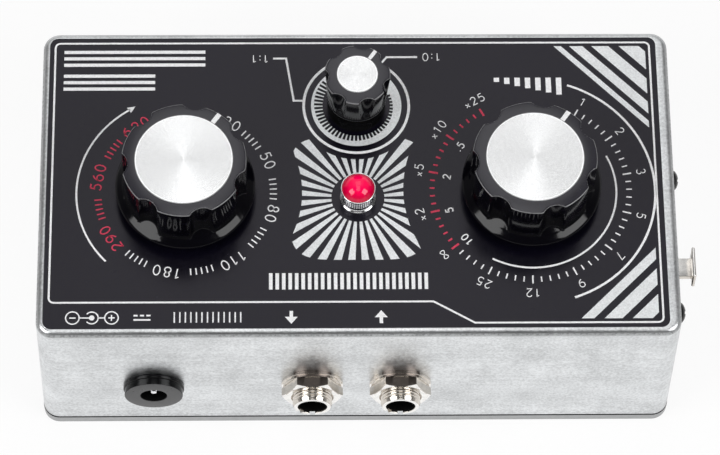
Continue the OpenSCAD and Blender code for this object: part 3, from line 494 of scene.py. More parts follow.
class Shape:
    """Vertices and faces of one piece, with the number of a finish for each face."""

    def __init__(self):
        self.verts, self.faces, self.looks = [], [], []

    def add(self, part, place=Matrix(), look=0):
        """Adds a part at a place, in one of the piece's finishes."""
        verts, faces = part
        base = len(self.verts)
        self.verts += [place @ Vector(vert) for vert in verts]
        self.faces += [tuple(base + index for index in face) for face in faces]
        self.looks += [look] * len(faces)
        return self

    def mesh(self, name, angle=SMOOTH):
        """The shape as a mesh."""
        made = bpy.data.meshes.new(name)
        made.from_pydata(self.verts, [], self.faces)
        made.polygons.foreach_set("material_index", self.looks)
        return closed(made, angle)

    def piece(self, name, finishes, body, slot, nodes=(), angle=SMOOTH):
        """The shape as a finished piece."""
        return settle(name, self.mesh(name, angle), finishes, body, nodes)


def closed(mesh, angle=SMOOTH):
    """Merges seams and shades smooth up to an angle."""
    build = bmesh.new()
    build.from_mesh(mesh)
    bmesh.ops.remove_doubles(build, verts=build.verts, dist=MERGE)
    build.to_mesh(mesh)
    build.free()
    mesh.shade_smooth()
    mesh.set_sharp_from_angle(angle=math.radians(angle))
    return mesh


def settle(name, mesh, finishes, body, nodes=()):
    """Makes a mesh a piece: gives it its finishes, hangs it on the body that it rides on and hides the solids
    that it stands for.
    """
    for each in finishes:
        mesh.materials.append(finish(each))
    piece = bpy.data.objects.new(name, mesh)
    bpy.context.scene.collection.objects.link(piece)
    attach(piece, body)
    if nodes:
        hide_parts(*nodes)
    return piece


def paint(piece, rule):
    """Gives each face of a piece the finish whose number a rule returns."""
    for face in piece.data.polygons:
        face.material_index = rule(face)


def parts_of(mesh):
    """A mesh as vertices and faces."""
    return [vert.co.copy() for vert in mesh.vertices], [tuple(face.vertices) for face in mesh.polygons]


def solid_copy(node):
    """A merged, smoothly shaded copy of a solid's mesh."""
    mesh = frame["nodes"][node].data.copy()
    mesh.materials.clear()
    return closed(mesh)


def smooth_solid(node, look):
    """A solid as it is, shaded smooth, in a finish."""
    settle(f"{node}_smooth", solid_copy(node), [look], "housing", [node])


def oval(x, y, wide, tall, start=0, end=360, steps=20):
    """Points of an oval or a piece of one, angles in degrees."""
    angles = [math.radians(start + (end - start) * k / steps) for k in range(steps + 1)]
    return [(x + wide * math.cos(angle), y + tall * math.sin(angle)) for angle in angles]


def arc(centre, radius, start, end, steps=6):
    """Points on a circle, angles in degrees."""
    return oval(*centre, radius, radius, start, end, steps)


def between(low, high, steps):
    """Even steps from one value, which is left out, to another."""
    return [low + (high - low) * k / steps for k in range(1, steps + 1)]


def lathe(profile, steps=96, loop=False):
    """Turns (radius, height) points in millimetres round Z, from the lower inside outwards and up."""
    verts, faces, rings = [], [], []
    for radius, height in profile:
        if radius < 1e-5:
            rings.append([len(verts)] * steps)
            verts.append((0, 0, height * MM))
        else:
            rings.append([len(verts) + k for k in range(steps)])
            round_z = oval(0, 0, radius * MM, radius * MM, steps=steps)[:-1]
            verts += [(x, y, height * MM) for x, y in round_z]
    pairs = list(zip(rings, rings[1:])) + ([(rings[-1], rings[0])] if loop else [])
    for low, high in pairs:
        for k in range(steps):
            n = (k + 1) % steps
            corners = tuple(dict.fromkeys((low[k], low[n], high[n], high[k])))
            if len(corners) > 2:
                faces.append(corners)
    return verts, faces


def block(size, at=(0, 0, 0), edge=0.0, segments=3):
    """Box in millimetres with rounded edges."""
    build = bmesh.new()
    bmesh.ops.create_cube(build, size=1)
    bmesh.ops.scale(build, vec=Vector(size) * MM, verts=build.verts)
    if edge:
        bmesh.ops.bevel(build, geom=build.edges[:], offset=edge * MM, segments=segments, profile=0.5,
                        affect="EDGES")
    bmesh.ops.translate(build, vec=Vector(at) * MM, verts=build.verts)
    build.verts.index_update()
    faces = [tuple(vert.index for vert in face.verts) for face in build.faces]
    made = [vert.co.copy() for vert in build.verts], faces
    build.free()
    return made


def slab(outline, low, high):
    """Flat piece from a counter-clockwise outline."""
    count = len(outline)
    verts = [(x, y, z) for z in (low, high) for x, y in outline]
    faces = [tuple(range(count, 2 * count)), tuple(range(count - 1, -1, -1))]
    faces += [(k, (k + 1) % count, count + (k + 1) % count, count + k) for k in range(count)]
    return verts, faces


def ribbon(points, width, low, high, loop=False):
    """Flat line of even width along points, with mitred corners."""
    points = [Vector(point) for point in points]
    count, sharpest = len(points), 0.35
    verts, faces = [], []
    for k, point in enumerate(points):
        before = points[k - 1] if k or loop else None
        after = points[(k + 1) % count] if k < count - 1 or loop else None
        first = (point - before).normalized() if before is not None else (after - point).normalized()
        second = (after - point).normalized() if after is not None else first
        side = Vector((-first.y - second.y, first.x + second.x)).normalized()
        reach = width / 2 / max(sharpest, side.dot(Vector((-first.y, first.x))))
        for way, height in ((-1, low), (1, low), (1, high), (-1, high)):
            verts.append((*(point + side * reach * way), height))
    for k in range(count if loop else count - 1):
        a, b = 4 * k, 4 * ((k + 1) % count)
        faces += [(a + 3, b + 3, b + 2, a + 2), (a, a + 1, b + 1, b),
                  (a, b, b + 3, a + 3), (a + 1, a + 2, b + 2, b + 1)]
    if not loop:
        last = 4 * (count - 1)
        faces += [(0, 3, 2, 1), (last, last + 1, last + 2, last + 3)]
    return verts, faces


def evaluated(holder):
    """An object's mesh with its modifier worked out."""
    return bpy.data.meshes.new_from_object(holder.evaluated_get(bpy.context.evaluated_depsgraph_get()))


def cut(mesh, part, angles):
    """A mesh with a closed part taken out of it at some angles about Z."""
    for angle in angles:
        tool = Shape().add(part, Matrix.Rotation(angle, 4, "Z")).mesh("tool")
        holders = [bpy.data.objects.new("cut", data) for data in (mesh, tool)]
        for holder in holders:
            bpy.context.scene.collection.objects.link(holder)
        taken = holders[0].modifiers.new("Cut", "BOOLEAN")
        taken.object, taken.solver = holders[1], "EXACT"
        mesh = evaluated(holders[0])
        for holder in holders:
            bpy.data.objects.remove(holder)
    return mesh


# Geometry node trees


def new_tree(name, sockets):
    """A geometry tree with named inputs, its graph and its input values."""
    tree = bpy.data.node_groups.new(name, "GeometryNodeTree")
    tree.interface.new_socket("Geometry", in_out="INPUT", socket_type="NodeSocketGeometry")
    for title, kind in sockets:
        tree.interface.new_socket(title, in_out="INPUT", socket_type=f"NodeSocket{kind}")
    tree.interface.new_socket("Geometry", in_out="OUTPUT", socket_type="NodeSocketGeometry")
    graph = Graph(tree)
    given = graph.node("NodeGroupInput").socket.node.outputs
    return tree, graph, {socket.name: Value(graph, socket) for socket in given if socket.name}


def close_tree(graph, geometry, material):
    """Ends a tree in plain geometry with its material."""
    real = graph.node("GeometryNodeRealizeInstances", {"Geometry": geometry})
    done = graph.node("GeometryNodeSetMaterial", {"Geometry": real, "Material": material})
    graph.node("NodeGroupOutput", {0: done})


TREES = {}


def run_tree(maker, mesh, values):
    """Evaluates a tree, which is made once, on a mesh and returns a plain mesh without a finish."""
    if maker not in TREES:
        TREES[maker] = maker()
    holder = bpy.data.objects.new("maker", mesh)
    modifier = holder.modifiers.new("Make", "NODES")
    modifier.node_group = TREES[maker]
    for item in TREES[maker].interface.items_tree:
        if item.item_type == "SOCKET" and item.in_out == "INPUT" and item.name in values:
            modifier[item.identifier] = values[item.name]
    bpy.context.scene.collection.objects.link(holder)
    made = evaluated(holder)
    made.materials.clear()
    holder.modifiers.remove(modifier)
    bpy.data.objects.remove(holder)
    return made


def fan_tree():
    """Fans copies of a tick about a centre from each point of the input."""
    tree, graph, given = new_tree("Tick fan", [
        ("Count", "Int"), ("Step", "Float"), ("Centre", "Vector"), ("Length", "Float"), ("Growth", "Float"),
        ("Width", "Float"), ("Thickness", "Float"), ("Material", "Material")])
    copies = graph.node("GeometryNodeDuplicateElements",
                        {"Geometry": given["Geometry"], "Amount": given["Count"]}, domain="POINT")
    number = graph.part(copies, 1)
    here = graph.node("GeometryNodeInputPosition")
    away = graph.node("ShaderNodeVectorMath", {0: here, 1: given["Centre"]}, operation="SUBTRACT")
    east, north, up = graph.axes(away)
    reach = (east * east + north * north) ** 0.5
    heading = north.math("ARCTAN2", east)
    angle = heading + (number - (given["Count"] - 1.0) * 0.5) * given["Step"]
    spot = graph.vector(angle.math("COSINE") * reach, angle.math("SINE") * reach, up)
    moved = graph.node("ShaderNodeVectorMath", {0: spot, 1: given["Centre"]}, operation="ADD")
    points = graph.node("GeometryNodeSetPosition", {"Geometry": copies, "Position": moved})
    size = graph.vector(given["Length"], given["Width"], given["Thickness"])
    tick = graph.node("GeometryNodeMeshCube", {"Size": size})
    shift = graph.vector(given["Length"] * 0.5, 0.0, 0.0)
    tick = graph.node("GeometryNodeTransform", {"Geometry": tick, "Translation": shift})
    turn = graph.vector(0.0, 0.0, heading)
    grow = graph.vector(number * given["Growth"] + 1.0, 1.0, 1.0)
    placed = graph.node("GeometryNodeInstanceOnPoints",
                        {"Points": points, "Instance": tick, "Rotation": turn, "Scale": grow})
    close_tree(graph, placed, given["Material"])
    return tree


def row_tree():
    """Copies the input along one line and then along another."""
    tree, graph, given = new_tree("Rows", [
        ("Count", "Int"), ("Step", "Vector"), ("Rows", "Int"), ("Row step", "Vector"),
        ("Material", "Material")])
    placed = given["Geometry"]
    for count, step in (("Count", "Step"), ("Rows", "Row step")):
        spots = {"Count": given[count], "Offset": given[step]}
        line = graph.node("GeometryNodeMeshLine", spots, mode="OFFSET")
        placed = graph.node("GeometryNodeInstanceOnPoints", {"Points": line, "Instance": placed})
    close_tree(graph, placed, given["Material"])
    return tree


def flute_tree():
    """Cuts flutes into a turned knob, down to the slope of its skirt."""
    tree, graph, given = new_tree("Knob flutes", [
        ("Flutes", "Float"), ("Body", "Float"), ("Cutter", "Float"), ("Depth", "Float"), ("Lobe", "Float"),
        ("Skirt", "Float"), ("Skirt foot", "Float"), ("Slope", "Float"), ("Soft", "Float"),
        ("Material", "Material")])
    east, north, up = graph.axes(graph.node("GeometryNodeInputPosition"))
    reach = (east * east + north * north) ** 0.5
    pitch = math.tau / given["Flutes"]
    turn = (north.math("ARCTAN2", east) - given["Lobe"]) / pitch
    off = (turn - turn.math("FLOOR") - 0.5) * pitch
    cutter_at = given["Body"] + given["Cutter"] - given["Depth"]
    aside = off.math("SINE") * cutter_at
    room = given["Cutter"] * given["Cutter"] - aside * aside
    hollow = off.math("COSINE") * cutter_at - room.math("MAXIMUM", 0.0) ** 0.5 + room.math("LESS_THAN", 0.0)
    slope = given["Skirt"] - (up - given["Skirt foot"]) * given["Slope"]
    limit = hollow.math("SMOOTH_MAX", slope, given["Soft"])
    ratio = reach.math("SMOOTH_MIN", limit, given["Soft"]) / reach.math("MAXIMUM", 1e-6)
    spot = graph.vector(east * ratio, north * ratio, up)
    moved = graph.node("GeometryNodeSetPosition", {"Geometry": given["Geometry"], "Position": spot})
    close_tree(graph, moved, given["Material"])
    return tree


def in_rows(mesh, look, count, step, rows=1, row_step=(0, 0, 0)):
    """Copies of a mesh along one line, and of that line along another."""
    return run_tree(row_tree, mesh, {
        "Count": count, "Step": tuple(step), "Rows": rows, "Row step": tuple(row_step),
        "Material": finish(look)})


# Print


def lying_eight(wide, tall, steps=40):
    """Points of a figure of eight on its side."""
    turns = [math.tau * k / steps for k in range(steps + 1)]
    return [(wide / 2 * (1 + math.cos(turn)), 0.5 + tall / 2 * math.sin(2 * turn)) for turn in turns]


# Each mark: its width and its pen strokes, in heights of a number
MARKS = {
    "0": (0.6, [oval(0.3, 0.5, 0.3, 0.5)]),
    "1": (0.46, [[(0.06, 0.8), (0.3, 0.98)], [(0.3, 1), (0.3, 0)]]),
    "2": (0.58, [oval(0.29, 0.72, 0.28, 0.28, 165, -38, 14) + [(0, 0)], [(-0.04, 0), (0.58, 0)]]),
    "3": (0.58, [oval(0.27, 0.75, 0.25, 0.25, 150, -85, 14), oval(0.27, 0.27, 0.3, 0.27, 85, -150, 14)]),
    "5": (0.58, [[(0.52, 1), (0.06, 1)], [(0.1, 1), (0.05, 0.52)],
                 oval(0.26, 0.32, 0.31, 0.32, 128, -145, 16)]),
    "6": (0.6, [oval(0.3, 0.31, 0.3, 0.31), oval(0.62, 0.33, 0.62, 0.68, 176, 108, 8)]),
    "7": (0.56, [[(0, 1), (0.6, 1)], [(0.56, 1), (0.18, 0)]]),
    "8": (0.6, [oval(0.3, 0.76, 0.24, 0.24), oval(0.3, 0.26, 0.3, 0.26)]),
    "9": (0.6, [oval(0.3, 0.69, 0.3, 0.31), oval(-0.02, 0.67, 0.62, 0.68, -4, -72, 8)]),
    "x": (0.42, [[(0, 0.02), (0.42, 0.48)], [(0, 0.48), (0.42, 0.02)]]),
    ":": (0.1, [[(0.05, 0.06), (0.05, 0.2)], [(0.05, 0.56), (0.05, 0.7)]]),
    ".": (0.1, [[(0.05, 0), (0.05, 0.14)]]),
    "~": (1.1, [lying_eight(1.1, 0.54)]),
}
MARK_GAP = 0.42


class Print(Shape):
    """Flat marks of one finish on the panel, drawn in millimetres."""

    def __init__(self, look):
        super().__init__()
        self.look = look
        self.thick = bpy.context.scene.pedal_shape.print_t
        self.low, self.high = PANEL_Z, PANEL_Z + self.thick

    def spot(self, at):
        """A place on the panel."""
        return Matrix.Translation((at[0] * MM, at[1] * MM, self.low))

    def area(self, outline):
        """A filled outline."""
        self.add(slab([Vector(point) * MM for point in outline], self.low, self.high))

    def line(self, points, width, loop=False):
        """A line of even width."""
        self.add(ribbon([Vector(point) * MM for point in points], width * MM, self.low, self.high, loop))

    def ring(self, at, inner, outer, steps=96):
        """A ring, or a disc where it has no inner radius."""
        thick = self.thick / MM
        profile = [(inner, 0), (outer, 0), (outer, thick), (inner, thick)]
        self.add(lathe(profile, steps, inner > 0), self.spot(at))

    def number(self, text, at, angle, tall, pen):
        """A number in pen strokes, its height and pen in metres, upright where its angle is 90 degrees."""
        strokes, across = [], 0.0
        for mark in text:
            wide, lines = MARKS[mark]
            strokes += [[(across + x, y) for x, y in line] for line in lines]
            across += wide + MARK_GAP
        place = self.spot(at) @ Matrix.Rotation(math.radians(angle - 90), 4, "Z")
        for line in strokes:
            loop = math.dist(line[0], line[-1]) < 1e-6
            spots = [((x - (across - MARK_GAP) / 2) * tall, (y - 0.5) * tall) for x, y in line]
            self.add(ribbon(spots[:-1] if loop else spots, pen, 0, self.thick, loop), place)

    def numbers(self, labels, centre, radius, tall, pen):
        """Numbers round a dial, with their tops outwards."""
        for text, angle in labels:
            self.number(text, arc(centre, radius, angle, angle, 1)[0], angle, tall, pen)

    def ticks(self, angles, centre, inner, length, width, count=1, step=0.0, growth=0.0, lift=0.0):
        """Ticks of a dial: a fan of them about each angle, lifted by a share of the print's thickness."""
        spots = bpy.data.meshes.new("spots")
        level = self.low + self.thick * (0.5 + lift)
        starts = [arc(centre, inner, angle, angle, 1)[0] for angle in angles]
        spots.from_pydata([(x * MM, y * MM, level) for x, y in starts], [], [])
        self.add(parts_of(run_tree(fan_tree, spots, {
            "Count": count, "Step": math.radians(step), "Centre": (centre[0] * MM, centre[1] * MM, 0.0),
            "Length": length * MM, "Growth": growth, "Width": width * MM, "Thickness": self.thick,
            "Material": finish(self.look)})))

    def done(self, name):
        """The marks as a piece on the box."""
        self.piece(name, [self.look], "housing", "cast_metal")


# Operators


class PEDAL_OT_box(Operator):
    """Cast box with its inked panel, base plate and base screws"""

    bl_idname = "pedal.box"
    bl_label = "Cast box"
    bl_options = UNDOABLE

    def execute(self, context):
        box_ease, cover_ease, ink_end = 0.8 * MM, 0.5 * MM, PANEL_Z - 0.09 * MM
        box = settle("cast_box", self.eased("enclosure", box_ease, 25), ["cast_metal", "panel_ink"],
                     "housing", ["enclosure"])
        paint(box, lambda face: int(face.center.z > ink_end))
        # The base plate is drawn in a darker copy of the metal as painted shade, and its rounded seam in
        # painted shadow
        settle("base_cover", self.eased("base_plate", cover_ease), ["cover_metal", "seam_shadow"],
               "housing", ["base_plate"])
        settle("cover_screws", solid_copy("base_screws"), ["bright_steel"],
               "housing", ["base_screws"])
        return {"FINISHED"}

    def eased(self, node, ease, angle=SMOOTH):
        """A solid's mesh with its outer edge rounded along the seam between the box and its base plate."""
        mesh = solid_copy(node)
        seam = heights("enclosure")[0]
        corner, rim_from = 4 * MM, 3.3 * MM
        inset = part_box("base_plate")[1].xy - Vector((corner, corner))

        def on_rim(at):
            aside = max(abs(at.x) - inset.x, 0), max(abs(at.y) - inset.y, 0)
            return abs(at.z - seam) < 1e-6 and math.hypot(*aside) > rim_from

        build = bmesh.new()
        build.from_mesh(mesh)
        bmesh.ops.dissolve_limit(build, angle_limit=0.002, verts=build.verts, edges=build.edges)
        rim = [edge for edge in build.edges if all(on_rim(vert.co) for vert in edge.verts)]
        made = bmesh.ops.bevel(build, geom=rim, offset=ease, segments=3, profile=0.5, affect="EDGES")
        # The rounded faces take the second finish, which on the base plate is the painted seam shadow
        for face in made["faces"]:
            face.material_index = 1
        build.to_mesh(mesh)
        build.free()
        return closed(mesh, angle)


class PEDAL_OT_rules(Operator):
    """Frame line, corner stripes, rays round the lamp and the marks along the jacks"""

    bl_idname = "pedal.rules"
    bl_label = "Panel rules"
    bl_options = UNDOABLE

    def execute(self, context):
        white, bare = Print("white_print"), Print("bare_print")
        left, right, near, far, shelf, turn = -71.1, 72.55, -37.0, 37.2, 31.7, 1.2
        line = [(-27.0, far), (-17.4, shelf)]
        for x, y, start in ((right - turn, shelf - turn, 90), (right - turn, near + turn, 0),
                            (left + turn, near + turn, -90), (left + turn, far - turn, 180)):
            line += arc((x, y), turn, start, start - 90)
        white.line(line, context.scene.pedal_shape.line / MM, True)
        gap = 1.0
        self.stripes(bare, left + gap, far - gap, -1, [(1.5, 6.2), (8.6, 12.8), (15.2, 18.2)])
        self.stripes(bare, left + gap, near + gap, 1, [(1.5, 6.4), (8.9, 13.0), (15.2, 18.4), (20.4, 22.2)])
        self.rays(bare)
        self.bars(white, (-15.8, 26.4), (0.42, 2.1), 25, 1.52)
        self.bars(white, (27.7, 35.55), (0.16, 1.35), 13, 1.29)
        self.corner_rules(white)
        self.signs(white, 35.6)
        white.done("panel_marks")
        bare.done("panel_stripes")
        return {"FINISHED"}

    def bars(self, white, first, half, count, step):
        """A row of upright bars, by half their width and height."""
        wide, tall = half
        bar = Print("white_print")
        bar.area([(-wide, -tall), (wide, -tall), (wide, tall), (-wide, tall)])
        row = in_rows(bar.mesh("bar"), "white_print", count, (step * MM, 0, 0))
        white.add(parts_of(row), Matrix.Translation((first[0] * MM, first[1] * MM, 0)))

    def stripes(self, bare, x, y, way, spans):
        """Slanted stripes across a corner of the frame line."""
        for near, far in spans:
            bare.area([(x, y + way * near), (x + near, y), (x + far, y), (x, y + way * far)][::way])

    def rays(self, bare):
        """Rays about the lamp that end on a rounded square and clear of the dials."""
        count, half_fill, inner, square, roundness = 32, 0.27, 6.3, 16.2, 5
        clear_of = {"blend": 14.4, "feedback": 30.3, "time": 27.6}
        dials = [((AT[name] - LAMP) / MM, clear) for name, clear in clear_of.items()]
        for k in range(count):
            ways = []
            for side in (-1, 0, 1):
                angle = math.tau * (k + 0.5 + side * half_fill) / count
                ways.append(Vector((math.cos(angle), math.sin(angle))))
            ends = []
            for way in ways:
                reach = square / (abs(way.x) ** roundness + abs(way.y) ** roundness) ** (1 / roundness)
                for dial, clear in dials:
                    along = dial.dot(way)
                    aside = clear ** 2 - (dial.length_squared - along * along)
                    if along > 0 and aside > 0:
                        reach = min(reach, along - math.sqrt(aside))
                ends.append(way * reach)
            outline = [ways[0] * inner, *ends, ways[2] * inner]
            bare.area([LAMP / MM + point for point in outline])

    def corner_rules(self, white):
        """Plain rules in the corner under the time dial, and falling bars under the feedback dial."""
        end, rule_step, rule_wide = 70.4, 1.75, 0.85
        for start, top in ((48.4, -24.6), (36.4, -31.1)):
            for k in range(3):
                y = top - rule_step * k
                white.line([(start, y), (end, y)], rule_wide)
        foot, bar_step, bar_wide = -27.4, 2.5, 1.3
        for k in range(7):
            x, tall = -48.8 + bar_step * k, 4.6 - 0.58 * k
            white.line([(x, foot), (x, foot + tall)], bar_wide)

    def signs(self, white, y):
        """Polarity sign, direct-current sign and two arrows for the jacks, on one height."""
        plus, centre, minus, half, pen = 57.8, 62.4, 66.9, 0.75, 0.3
        for x in (plus, minus):
            white.ring((x, y), 1.42, 1.72, 48)
            white.line([(x - half, y), (x + half, y)], pen)
        for way in (-1, 1):
            white.line([(plus, y + way * half), (plus, y + way * pen / 2)][::-way], pen)
        white.line(arc((centre, y), 1.5, 40, 320, 48), pen)
        white.ring((centre, y), 0, 0.65, 32)
        for start, end in ((59.52, 60.9), (63.05, 65.18)):
            white.line([(start, y), (end, y)], pen)
        dash, apart, dash_pen = 48.7, 0.55, 0.42
        white.line([(dash, y + apart), (dash + 4.0, y + apart)], dash_pen)
        for k in range(3):
            x = dash + 1.5 * k
            white.line([(x, y - apart), (x + 1.0, y - apart)], dash_pen)
        for x, way in ((15.9, 1), (-5.1, -1)):
            neck = y - way * 0.1
            white.area([(x - way * 1.5, neck), (x + way * 1.5, neck), (x, y + way * 1.7)])
            white.line([(x, y - way * 1.6), (x, neck)], 0.8)


class PEDAL_OT_dials(Operator):
    """Ticks, arcs and numbers of the three dials"""

    bl_idname = "pedal.dials"
    bl_label = "Dials"
    bl_options = UNDOABLE

    def execute(self, context):
        sizes = context.scene.pedal_shape
        white, red = Print("white_print"), Print("red_print")
        self.time(AT["time"] / MM, white, red, sizes)
        self.feedback(AT["feedback"] / MM, white, red, sizes)
        self.blend(AT["blend"] / MM, white, sizes)
        white.done("dial_marks")
        red.done("dial_marks_red")
        return {"FINISHED"}

    def time(self, at, white, red, sizes):
        """Eight numbers with five ticks between them, and an arrow round the red ones."""
        numbers_at, ticks_at = 21.2, 19.95
        white.numbers([("30", 239.3), ("50", 203.3), ("80", 164.5), ("110", 122.3), ("180", 78.3)],
                      at, numbers_at, sizes.number, sizes.pen)
        red.numbers([("290", 34.5), ("560", -10.9), ("620", -55.4)],
                    at, numbers_at, sizes.number, sizes.pen * 1.15)
        white.ticks([221.7, 182.2, 145.0, 100.8, 56.5], at, ticks_at, 1.7, 0.32, 5, 3.55)
        red.ticks([12.2, -33.5], at, ticks_at, 1.75, 0.36, 5, 3.4)
        curve = arc(at, 25.9, 44, -58.5, 60)
        white.line(curve, 0.45)
        tip, before = Vector(curve[-1]), Vector(curve[-4])
        way = (tip - before).normalized()
        wing = Vector((-way.y, way.x)) * 0.85
        back = tip - way * 0.3
        white.area([back - wing, tip + way * 1.5, back + wing])

    def feedback(self, at, white, red, sizes):
        """Thirteen steps, the last five red, with fine ticks between and numbers inside and outside."""
        step, whites = 25.2, 8
        places = [240.6 - step * k for k in range(13)]
        halves = [angle - step / 2 for angle in places[:-1]]
        tall, fine = sizes.small_number, sizes.pen * 0.75
        white.numbers(zip(("1", "2", "3", "5", "7", "9", "12", "25", "~"), places), at, 26.9, tall, fine)
        white.numbers(zip(("x2", "x5", "x10", "x25"), places[9:]), at, 27.1, tall, fine)
        white.numbers(zip(("10", "5", "2", ".5"), (40, 15.3, -10, -34.8)), at, 20.2, tall * 0.85, sizes.pen)
        ticks_at = 22.4
        white.ticks(places[:whites], at, ticks_at, 2.1, 0.36)
        red.ticks(places[whites:], at, ticks_at, 2.2, 0.5)
        white.ticks(halves[:whites], at, 22.75, 1.35, 0.32, 4, step / 5)
        red.ticks(halves[whites:], at, 22.85, 1.15, 0.42, 4, step / 5)
        white.line(arc(at, 29.65, 108.6, 250.9, 80), 0.55)
        white.line(arc(at, 20.4, 206, 62, 80), 0.45)

    def blend(self, at, white, sizes):
        """Bare ring with growing ticks inside a white one, and a ratio at each end of the range."""
        white.ring(at, 12.3, 12.95)
        plate, marks = Print("bare_print"), Print("ink_print")
        plate.ring(at, 8.1, 10.85)
        plate.done("blend_plate")
        marks.ticks([80.0], at, 8.05, 0.6, 0.58, 40, -6.1, 0.075, 0.8)
        marks.done("blend_ticks")
        for text, x, y in (("1:0", -18.2, -33.1), ("1:1", 23.2, -32.7)):
            white.number(text, (x, y), 90, sizes.small_number, sizes.pen * 0.75)
        white.line([(-14.8, -33.1), (-7.4, -33.1), (-5.8, -31.1)], 0.5)
        white.line([(20.0, -32.8), (16.9, -32.8), (15.1, -21.3), (12.9, -21.3)], 0.5)


# Knob forms in millimetres: radii of the skirt, of the body at its top and its foot, of the cap, of the
# hollow below and of the cutter of the flutes, then the flutes' depth, the hollow's height, the rise of the
# top towards the cap and the pointer's width
LARGE_KNOB = SimpleNamespace(
    skirt=16.5, body=14.6, foot=14.87, cap=11.5, hollow=11.4, cutter=3.6, depth=1.5, hollow_tall=8.0,
    crown=0.3, pointer=1.15, look="knob_plastic")
SMALL_KNOB = SimpleNamespace(
    skirt=7.15, body=7.85, foot=7.0, cap=4.9, hollow=4.6, cutter=2.6, depth=1.2, hollow_tall=1.0,
    crown=0.2, pointer=0.9, look="small_knob_plastic")
CAP_GAP = 0.1


class PEDAL_OT_knobs(Operator):
    """Fluted knobs with their turned caps and white pointers"""

    bl_idname = "pedal.knobs"
    bl_label = "Knobs"
    bl_options = UNDOABLE

    def execute(self, context):
        sizes = context.scene.pedal_shape
        for name in CONTROLS:
            form = SMALL_KNOB if name == "blend" else LARGE_KNOB
            self.knob(name, form, sizes)
            self.cap(name, form.cap, sizes.groove / MM)
            self.pointer(name, form)
        return {"FINISHED"}

    def knob(self, name, form, sizes):
        """Turned body with flutes cut into it: collar, slope to the body, leaning side, soft edge and top."""
        bottom, top = heights(f"{name}_knob")
        tall = (top - bottom) / MM
        bore, seat, collar, low_edge, high_edge, run = 4.55, tall - 1.0, 0.8, 0.25, 0.3, 2.2
        dense, shoulder, edge = 3.6, tall - 0.5, 0.35
        slope = (form.skirt - form.body + form.depth) / run
        lean = (form.body - form.foot) / shoulder
        meet = (form.skirt + collar * slope - form.foot) / (slope + lean)
        inner = form.body - edge
        profile = [(bore, form.hollow_tall), (form.hollow, form.hollow_tall), (form.hollow, 0.15)]
        profile += [(form.hollow + 0.15, 0), (form.skirt - low_edge, 0)]
        profile += arc((form.skirt - low_edge, low_edge), low_edge, -90, 0, 4)
        profile += arc((form.skirt - high_edge, collar - low_edge), high_edge, 0, 50, 4)
        profile += [(form.skirt - (z - collar) * slope, z) for z in between(collar, meet, 6)]
        levels = between(meet, dense, 16) + between(dense, shoulder, 14)
        profile += [(form.foot + lean * z, z) for z in levels]
        profile += arc((inner, tall - form.crown - edge), edge, 0, 80, 5)
        profile += [(inner - (inner - form.cap - CAP_GAP) * k, tall - form.crown * (1 - k) ** 1.6)
                    for k in between(0, 1, 10)]
        profile += [(form.cap + 0.03, tall - 0.08), (form.cap + 0.03, seat), (bore, seat)]
        turned = Shape().add(lathe(profile, sizes.flutes * 36, True)).mesh("turned")
        fluted = run_tree(flute_tree, turned, {
            "Flutes": float(sizes.flutes), "Body": form.body * MM, "Cutter": form.cutter * MM,
            "Depth": form.depth * MM, "Lobe": POINTER, "Skirt": form.skirt * MM, "Skirt foot": collar * MM,
            "Slope": slope, "Soft": sizes.edge, "Material": finish(form.look)})
        place = Matrix.Translation((*AT[name], bottom))
        piece = Shape().add(parts_of(fluted), place).piece(
            f"{name}_fluted_knob", [form.look, "knob_top", "knob_edge"], f"{name}_control", "knob_plastic",
            [f"{name}_knob"], 40)

        # Painted light on the top faces, a painted highlight on the edge faces, plain black on the sides
        side_end, flat = top - 0.67 * MM, 0.85

        def side_lit_top_or_highlit_edge(face):
            if face.center.z <= side_end:
                return 0
            return 1 if face.normal.z > flat else 2

        paint(piece, side_lit_top_or_highlit_edge)

    def pointer(self, name, form):
        """White bar let into the knob's top, from its cap to its edge."""
        bottom, top = heights(f"{name}_knob")
        start, end, thick, sunk, edge = form.cap + CAP_GAP, form.body - 0.2, 0.5, 0.22, 0.06
        middle_at = (start + end) / 2, 0, (top - bottom) / MM - sunk
        place = Matrix.Translation((*AT[name], bottom)) @ Matrix.Rotation(POINTER, 4, "Z")
        Shape().add(block((end - start, form.pointer, thick), middle_at, edge), place).piece(
            f"{name}_pointer", ["white_print"], f"{name}_control", "knob_plastic")

    def cap(self, name, radius, groove):
        """Turned cap whose fine grooves catch the light in wedges."""
        bottom, top = heights(f"{name}_cap")
        tall, rim, depth = (top - bottom) / MM, radius - 0.35, groove * 0.066
        count = int(rim / groove)
        profile = [(0, 0), (radius, 0), (radius, tall - 0.15), (radius - 0.12, tall), (rim, tall)]
        for k in range(count):
            profile += [(rim * (1 - (k + 0.5) / count), tall - depth), (rim * (1 - (k + 1) / count), tall)]
        Shape().add(lathe(profile, 128), Matrix.Translation((*AT[name], bottom))).piece(
            f"{name}_turned_cap", ["spun_aluminium"], f"{name}_control", "spun_aluminium", [f"{name}_cap"], 5)


